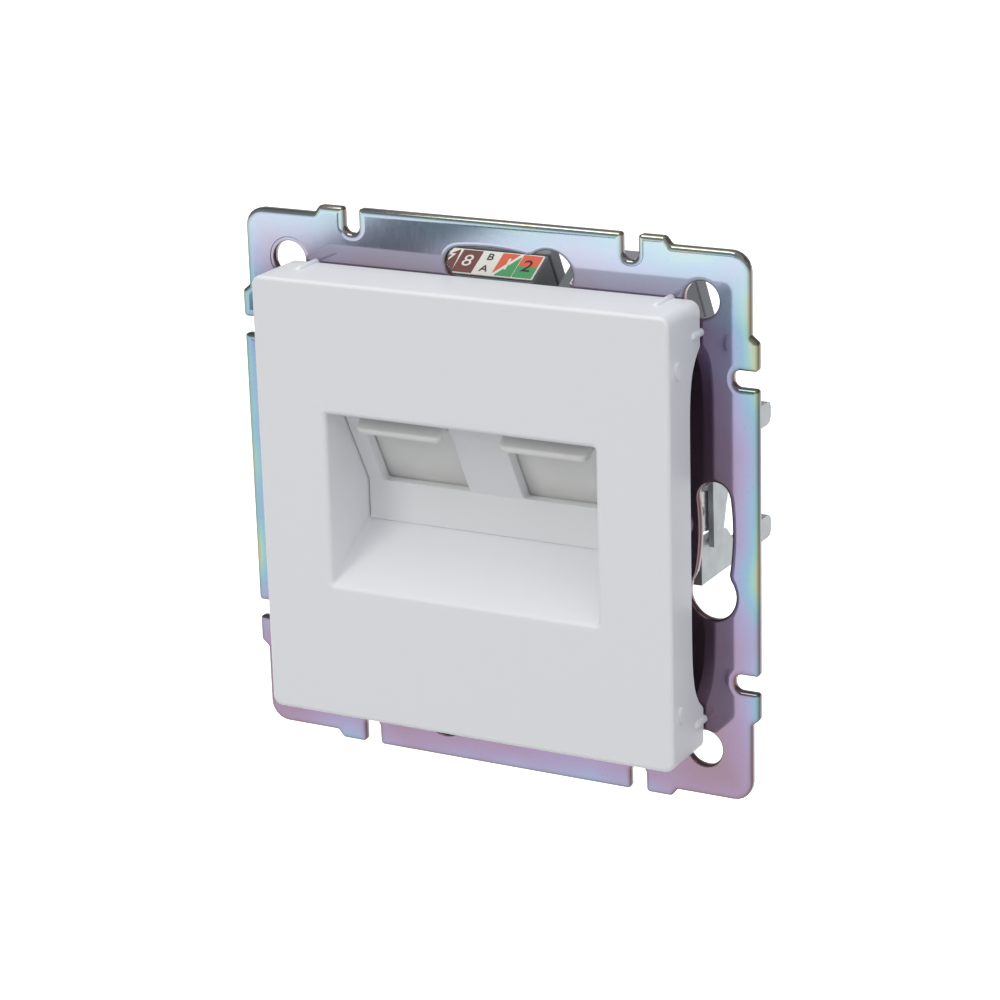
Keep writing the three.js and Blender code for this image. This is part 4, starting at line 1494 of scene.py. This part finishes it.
@dataclass
class Jack:
    """One data jack: housing, contacts, board, terminal block, blades, wiring label and dust cap."""

    half: float = 8.2
    housing_rear: float = 18.0
    housing_low: float = -3.4
    housing_high: float = 13.0
    rib_front: float = 16.0
    board_half: float = 8.0
    board: tuple[float, float] = (18.3, 19.5)
    solder_rows: tuple[float, float] = (-1.9, 11.7)
    wires: int = 8
    wire_pitch: float = 1.8
    block_low: float = -3.0
    block_high: float = 14.1
    label_half: float = 7.35
    label: tuple[float, float] = (24.0, 28.6)
    label_border: float = 0.2
    label_shift: float = 0.7
    cap_rear: float = 31.6

    def housing(self, name: str, x: float) -> None:
        """Builds the housing, with a latch rib above and below and grip ribs on its sides.

        Args:
            name: left or right.
            x: The jack's middle.
        """
        node = f"jack_housing_{name}"
        dress(softened(node, f"jack_shell_{name}", 0.25, 3), Finish.CHARCOAL, "mechanism", node)
        mesh = bmesh.new()
        for side in (-1, 1):
            edge = x + side * (self.half - 0.1)
            x0, x1 = sorted((edge, edge + side * 0.22))
            for s in (1.0, 4.0, 7.0):
                outline = rectangle(x0, x1, s, s + 1.2, 0.08)
                slab(mesh, [outline], self.rib_front, self.housing_rear - 0.3, on_slope, FINE, FINE)
        for s, rise in ((self.housing_high - 0.1, 0.5), (self.housing_low + 0.1, -0.5)):
            outline = rectangle(x - 3.5, x + 3.5, *sorted((s, s + rise)), 0.12)
            slab(mesh, [outline], self.rib_front, self.housing_rear - 0.4, on_slope, FINE, FINE)
        dress(to_object(mesh, f"jack_ribs_{name}"), Finish.CHARCOAL, "mechanism")

    def circuit_board(self, name: str, x: float) -> None:
        """Builds the circuit board with a row of solder joints on each terminal row.

        Args:
            name: left or right.
            x: The jack's middle.
        """
        mesh = bmesh.new()
        outline = rectangle(x - self.board_half, x + self.board_half, -3.2, 12.8, 0.3)
        slab(mesh, [outline], *self.board, on_slope, FINE, FINE)
        dress(to_object(mesh, f"board_{name}"), Finish.BOARD, "mechanism", f"circuit_board_{name}")
        joints = bmesh.new()
        rear = self.board[1]
        profile = [(0.0, 0.45), (0.2, 0.43), (0.45, 0.25), (0.62, -0.05), (0.0, -0.05)]
        for s in self.solder_rows:
            for i in range(self.wires):
                middle = x + (i - (self.wires - 1) / 2) * self.wire_pitch

                def place(radius: float, rise: float, px: float = middle, ps: float = s) -> Callable:
                    """Places a ring of the solder joint."""
                    n = rear + rise
                    return lambda t: on_slope(px + radius * math.cos(t), ps + radius * math.sin(t), n)

                lathe(joints, profile, place, 12)
        dress(to_object(joints, f"solder_{name}"), Finish.BLADE, "mechanism")

    def block(self, name: str) -> None:
        """Builds the contact wires, the terminal block and its two rows of forked blades.

        Args:
            name: left or right.
        """
        parts = (
            ("contact_set", "contacts", 0.06, 2, Finish.GOLD),
            ("terminal_block", "wire_block", 0.18, 3, Finish.CHARCOAL),
            ("terminal_blades_low", "blades_low", 0.05, 2, Finish.BLADE),
            ("terminal_blades_high", "blades_high", 0.05, 2, Finish.BLADE),
        )
        for node, piece, width, steps, finish in parts:
            made = softened(f"{node}_{name}", f"{piece}_{name}", width, steps)
            dress(made, finish, "mechanism", f"{node}_{name}")

    def wiring_label(self, name: str, x: float) -> None:
        """Builds the colour-code film on top of the block: five cells with plain numbers.

        Args:
            name: left or right.
            x: The label's middle.
        """
        base = self.block_high + 0.075
        mesh = bmesh.new()
        film = rectangle(x - self.label_half, x + self.label_half, *self.label, 0.25)
        slab(mesh, [film], base, base + 0.2, across_slope, FINE, FINE)
        dress(to_object(mesh, f"label_film_{name}"), Finish.FILM, "mechanism", f"wiring_label_{name}")
        self.cells(name, x, base + 0.19)
        self.marks(name, x, base + 0.26)

    def cells(self, name: str, x: float, height: float) -> None:
        """Builds the colour patches on the film, some of them cut across a corner.

        Args:
            name: left or right.
            x: The label's middle.
            height: Height of the patches' lower side up the slope.
        """
        low, high = self.label[0] + self.label_border, self.label[1] - self.label_border
        half = self.label_half - self.label_border
        edges = [x - half + 2 * half * i / 5 for i in range(6)]
        middle, cut, gap = (low + high) / 2, 0.35, 0.1
        patches = {
            Finish.BROWN: [
                ((edges[0], low), (edges[1], low), (edges[1] - 0.4, high), (edges[0], middle)),
                ((edges[1], low), (edges[2], low), (edges[2], high), (edges[1], high)),
            ],
            Finish.ORANGE: [
                ((edges[3], low + cut), (edges[4] - cut, high), (edges[3], high)),
                ((edges[4] + gap, middle), (edges[5], middle), (edges[5], high), (edges[4] + gap, high)),
            ],
            Finish.GREEN: [
                ((edges[3] + cut, low), (edges[4], low), (edges[4], high - cut)),
                ((edges[4] + gap, low), (edges[5], low), (edges[5], middle), (edges[4] + gap, middle)),
            ],
        }
        for finish, shapes in patches.items():
            mesh = bmesh.new()
            for shape in shapes:
                outline = Corners(tuple((a, b, 0.05) for a, b in shape), 1)
                slab(mesh, [outline], height, height + 0.05, across_slope, THIN, THIN)
            dress(to_object(mesh, f"label_{finish.name.lower()}_{name}"), finish, "mechanism")

    def marks(self, name: str, x: float, height: float) -> None:
        """Builds the plain wire numbers and the two wiring orders that are printed on the cells.

        Args:
            name: left or right.
            x: The label's middle.
            height: Height of the print up the slope.
        """
        half = self.label_half - self.label_border
        right = Vector((1, 0, 0))
        out = on_slope(0, 1, 0) - on_slope(0, 0, 0)
        turn = Matrix((right, out.cross(right), out)).transposed().to_4x4()
        rows = [
            ("7", 0.5, 0.0, 2.6, Finish.FILM),
            ("8", 1.5, 0.0, 2.6, Finish.FILM),
            ("B", 2.5, -1.1, 1.5, Finish.INK),
            ("A", 2.5, 1.1, 1.5, Finish.INK),
            ("1", 3.5, 0.0, 2.6, Finish.FILM),
            ("2", 4.5, 0.0, 2.6, Finish.INK),
        ]
        for i, (text, cell, shift, size, finish) in enumerate(rows):
            data = self.print_of(text, size)
            place = across_slope(x - half + 2 * half * cell / 5, sum(self.label) / 2 - shift, height)
            data.transform(Matrix.Translation(place * MM) @ turn)
            dress(linked(f"label_mark_{name}_{i}", data), finish, "mechanism")

    def print_of(self, text: str, size: float) -> bpy.types.Mesh:
        """A printed sign as a thin mesh that faces +Z.

        Args:
            text: The sign.
            size: Its height.

        Returns:
            The welded mesh, in metres.
        """
        curve = bpy.data.curves.new("sign", "FONT")
        curve.body = text
        curve.size = size * 1.15 * MM
        curve.align_x = "CENTER"
        curve.align_y = "CENTER"
        curve.extrude = 0.015 * MM
        holder = linked("sign", curve)
        data = bpy.data.meshes.new_from_object(holder.evaluated_get(bpy.context.evaluated_depsgraph_get()))
        bpy.data.objects.remove(holder)
        welded = bmesh.new()
        welded.from_mesh(data)
        bmesh.ops.remove_doubles(welded, verts=welded.verts, dist=1e-7)
        welded.to_mesh(data)
        welded.free()
        return data

    def dust_cap(self, name: str, x: float) -> None:
        """Builds the dust cap, with a raised frame and three grip ribs.

        Args:
            name: left or right.
            x: The jack's middle.
        """
        node = f"wire_cap_{name}"
        dress(softened(node, f"dust_cap_{name}", 0.3, 3), Finish.SMOKE, node, node)
        mesh = bmesh.new()
        sunk = self.cap_rear - 0.1
        low, high = self.block_low + 1.6, self.block_high - 1.6
        raised = [
            rectangle(x - 6.6, x + 6.6, low, high, 1.0),
            rectangle(x - 5.4, x + 5.4, low + 1.2, high - 1.2, 0.7, hole=True),
        ]
        slab(mesh, raised, sunk, self.cap_rear + 0.35, on_slope, SMALL, Ease(0.2, 0.2))
        for s in (3.4, 5.6, 7.8):
            slab(mesh, [rectangle(x - 3.4, x + 3.4, s, s + 0.8, 0.35)], sunk, self.cap_rear + 0.3, on_slope)
        dress(to_object(mesh, f"cap_ribs_{name}"), Finish.SMOKE, node)

    def build(self, name: str, side: int) -> None:
        """Builds and dresses one jack.

        Args:
            name: left or right.
            side: -1 or 1.
        """
        x = side * PORT_X
        self.housing(name, x)
        self.circuit_board(name, x)
        self.block(name)
        self.wiring_label(name, x + self.label_shift)
        self.dust_cap(name, x)


@dataclass
class Carrier:
    """The frame that holds both jacks in the plate's opening."""

    cheek: float = 19.8
    rib_out: float = 20.15
    rib_height: float = 0.9
    rib_front: float = 2.2
    ribs: tuple[tuple[float, float], ...] = ((-4.5, 6.8), (2.0, 9.5), (8.5, 9.5), (15.0, 9.5))

    def build(self) -> None:
        """Builds and dresses the carrier with stiffening ribs on its cheeks."""
        piece = softened("module_carrier", "jack_carrier", 0.3, 3)
        dress(piece, Finish.CARRIER, "mechanism", "module_carrier")
        mesh = bmesh.new()
        for _, side in SIDES:
            inner, outer = sorted((side * self.cheek, side * self.rib_out))
            for z, rear in self.ribs:
                outline = rectangle(self.rib_front, rear, z, z + self.rib_height, 0.3)
                slab(mesh, [outline], inner, outer, on_side, FINE, FINE)
        dress(to_object(mesh, "carrier_ribs"), Finish.CARRIER, "mechanism")


# ---- Studio --------------------------------------------------------------------------------------------


@dataclass(frozen=True)
class Lamp:
    """A soft square light that faces the outlet: place and side in metres, power in watts."""

    name: str
    place: tuple[float, float, float]
    size: float
    power: float
    tint: int

    def build(self) -> None:
        """Builds the light."""
        data = bpy.data.lights.new(self.name, "AREA")
        data.shape = "SQUARE"
        data.size = self.size
        data.energy = self.power
        data.color = rgb(self.tint)
        lamp = linked(self.name, data)
        lamp.location = self.place
        lamp.rotation_mode = "QUATERNION"
        lamp.rotation_quaternion = Vector(self.place).to_track_quat("Z", "Y")


@dataclass
class Studio:
    """Camera, pale floor, soft lights, and a dark card that only shows in shiny surfaces."""

    azimuth: float = 28.52
    elevation: float = 17.846
    roll: float = -1.696
    distance: float = 392.4
    target: tuple[float, float, float] = (0.70, -1.0, 0.186)
    lens: float = 114.08
    sensor: float = 36.0
    floor_z: float = -0.12
    floor_half: float = 6.0
    floor_glow: float = 0.8
    floor_shades: tuple[float, float] = (0.93, 0.95)
    card: tuple[Point, ...] = ((-0.3, -0.44), (-0.43, -1.6), (-0.56, -1.6), (-0.338, -0.44))
    card_z: float = -0.118
    card_colour: tuple[float, float, float, float] = (0.08, 0.12, 0.152, 1)
    sky: tuple[float, float, float, float] = (0.97, 0.98, 1.0, 1)
    sky_strength: float = 0.4
    lamps: tuple[Lamp, ...] = (
        Lamp("key", (-0.42, -0.95, 0.6), 0.4, 2.8, 0xFFFDF9),
        Lamp("top", (0.0, -0.3, 1.15), 1.6, 9.2, 0xFFFFFF),
        Lamp("fill", (0.25, -1.3, 0.2), 1.0, 0.8, 0xF6FAFF),
        Lamp("side", (1.1, -0.35, 0.4), 0.8, 2.0, 0xF4F6FF),
    )

    def camera(self) -> None:
        """Builds the camera, three quarters from the front right and a little above."""
        a, e, roll = (math.radians(v) for v in (self.azimuth, self.elevation, self.roll))
        back = Vector((math.sin(a) * math.cos(e), -math.cos(a) * math.cos(e), math.sin(e)))
        right = (-back).cross(Vector((0, 0, 1))).normalized()
        up = right.cross(-back)
        turned = right * math.cos(roll) + up * math.sin(roll)
        upright = up * math.cos(roll) - right * math.sin(roll)
        data = bpy.data.cameras.new("camera")
        data.lens = self.lens
        data.sensor_width = self.sensor
        data.clip_start = 0.01
        data.clip_end = 20
        camera = linked("camera", data)
        location = (Vector(self.target) + back * self.distance) * MM
        turn = Matrix((turned, upright, back)).transposed().to_4x4()
        camera.matrix_world = Matrix.Translation(location) @ turn
        bpy.context.scene.camera = camera

    def sheet(self, graph: Graph, corners: Sequence[Point], z: float) -> Piece:
        """A flat staged sheet that no diffuse ray sees, so that it lights nothing but reflections.

        Args:
            graph: Its finished material, whose name it takes.
            corners: Its corners in X and Y, in metres.
            z: Its height in metres.

        Returns:
            The sheet.
        """
        mesh = bmesh.new()
        mesh.faces.new([mesh.verts.new((x, y, z)) for x, y in corners])
        data = bpy.data.meshes.new(graph.material.name)
        mesh.to_mesh(data)
        mesh.free()
        data.materials.append(graph.material)
        made = linked(graph.material.name, data)
        made.visible_diffuse = False
        return made

    def floor(self) -> None:
        """Builds a wide pale floor, well under the outlet."""
        graph = Graph("floor")
        stops = [(float(i), (shade, shade, shade)) for i, shade in enumerate(self.floor_shades)]
        graph.feed(Base_Color=graph.ramp(graph.noise(graph.place(), 0.002, 2), stops), Roughness=0.9)
        graph.feed(Emission_Color=(1, 1, 1, 1), Emission_Strength=self.floor_glow)
        half = self.floor_half
        self.sheet(graph, [(-half, -half), (half, -half), (half, half), (-half, half)], self.floor_z)

    def dark_card(self) -> None:
        """Builds the card on the floor that darkens part of the plate's reflection."""
        graph = Graph("dark_card")
        graph.feed(Base_Color=self.card_colour, Roughness=1.0)
        card = self.sheet(graph, self.card, self.card_z)
        card.visible_camera = False
        card.visible_shadow = False

    def build(self) -> None:
        """Builds the whole set."""
        world = bpy.data.worlds.new("studio")
        world.use_nodes = True
        background = world.node_tree.nodes["Background"]
        background.inputs["Color"].default_value = self.sky
        background.inputs["Strength"].default_value = self.sky_strength
        bpy.context.scene.world = world
        bpy.context.scene.view_settings.view_transform = "Standard"
        self.camera()
        self.floor()
        self.dark_card()
        for lamp in self.lamps:
            lamp.build()


# ---- Assembly ------------------------------------------------------------------------------------------


def main() -> None:
    """Builds the set and the outlet, sub-assembly by sub-assembly."""
    logging.basicConfig(level=logging.INFO, format="%(name)s: %(message)s")
    Studio().build()
    MountingPlate().build()
    Cover().build()
    PortInsert().build()
    Carrier().build()
    for name, side in SIDES:
        Shutter().build(name, side)
        ShutterSpring().build(name, side)
        Retainer().build(name, side)
        ClawDrive().build(name, side)
        Jack().build(name, side)


if __name__ == "__main__":
    main()
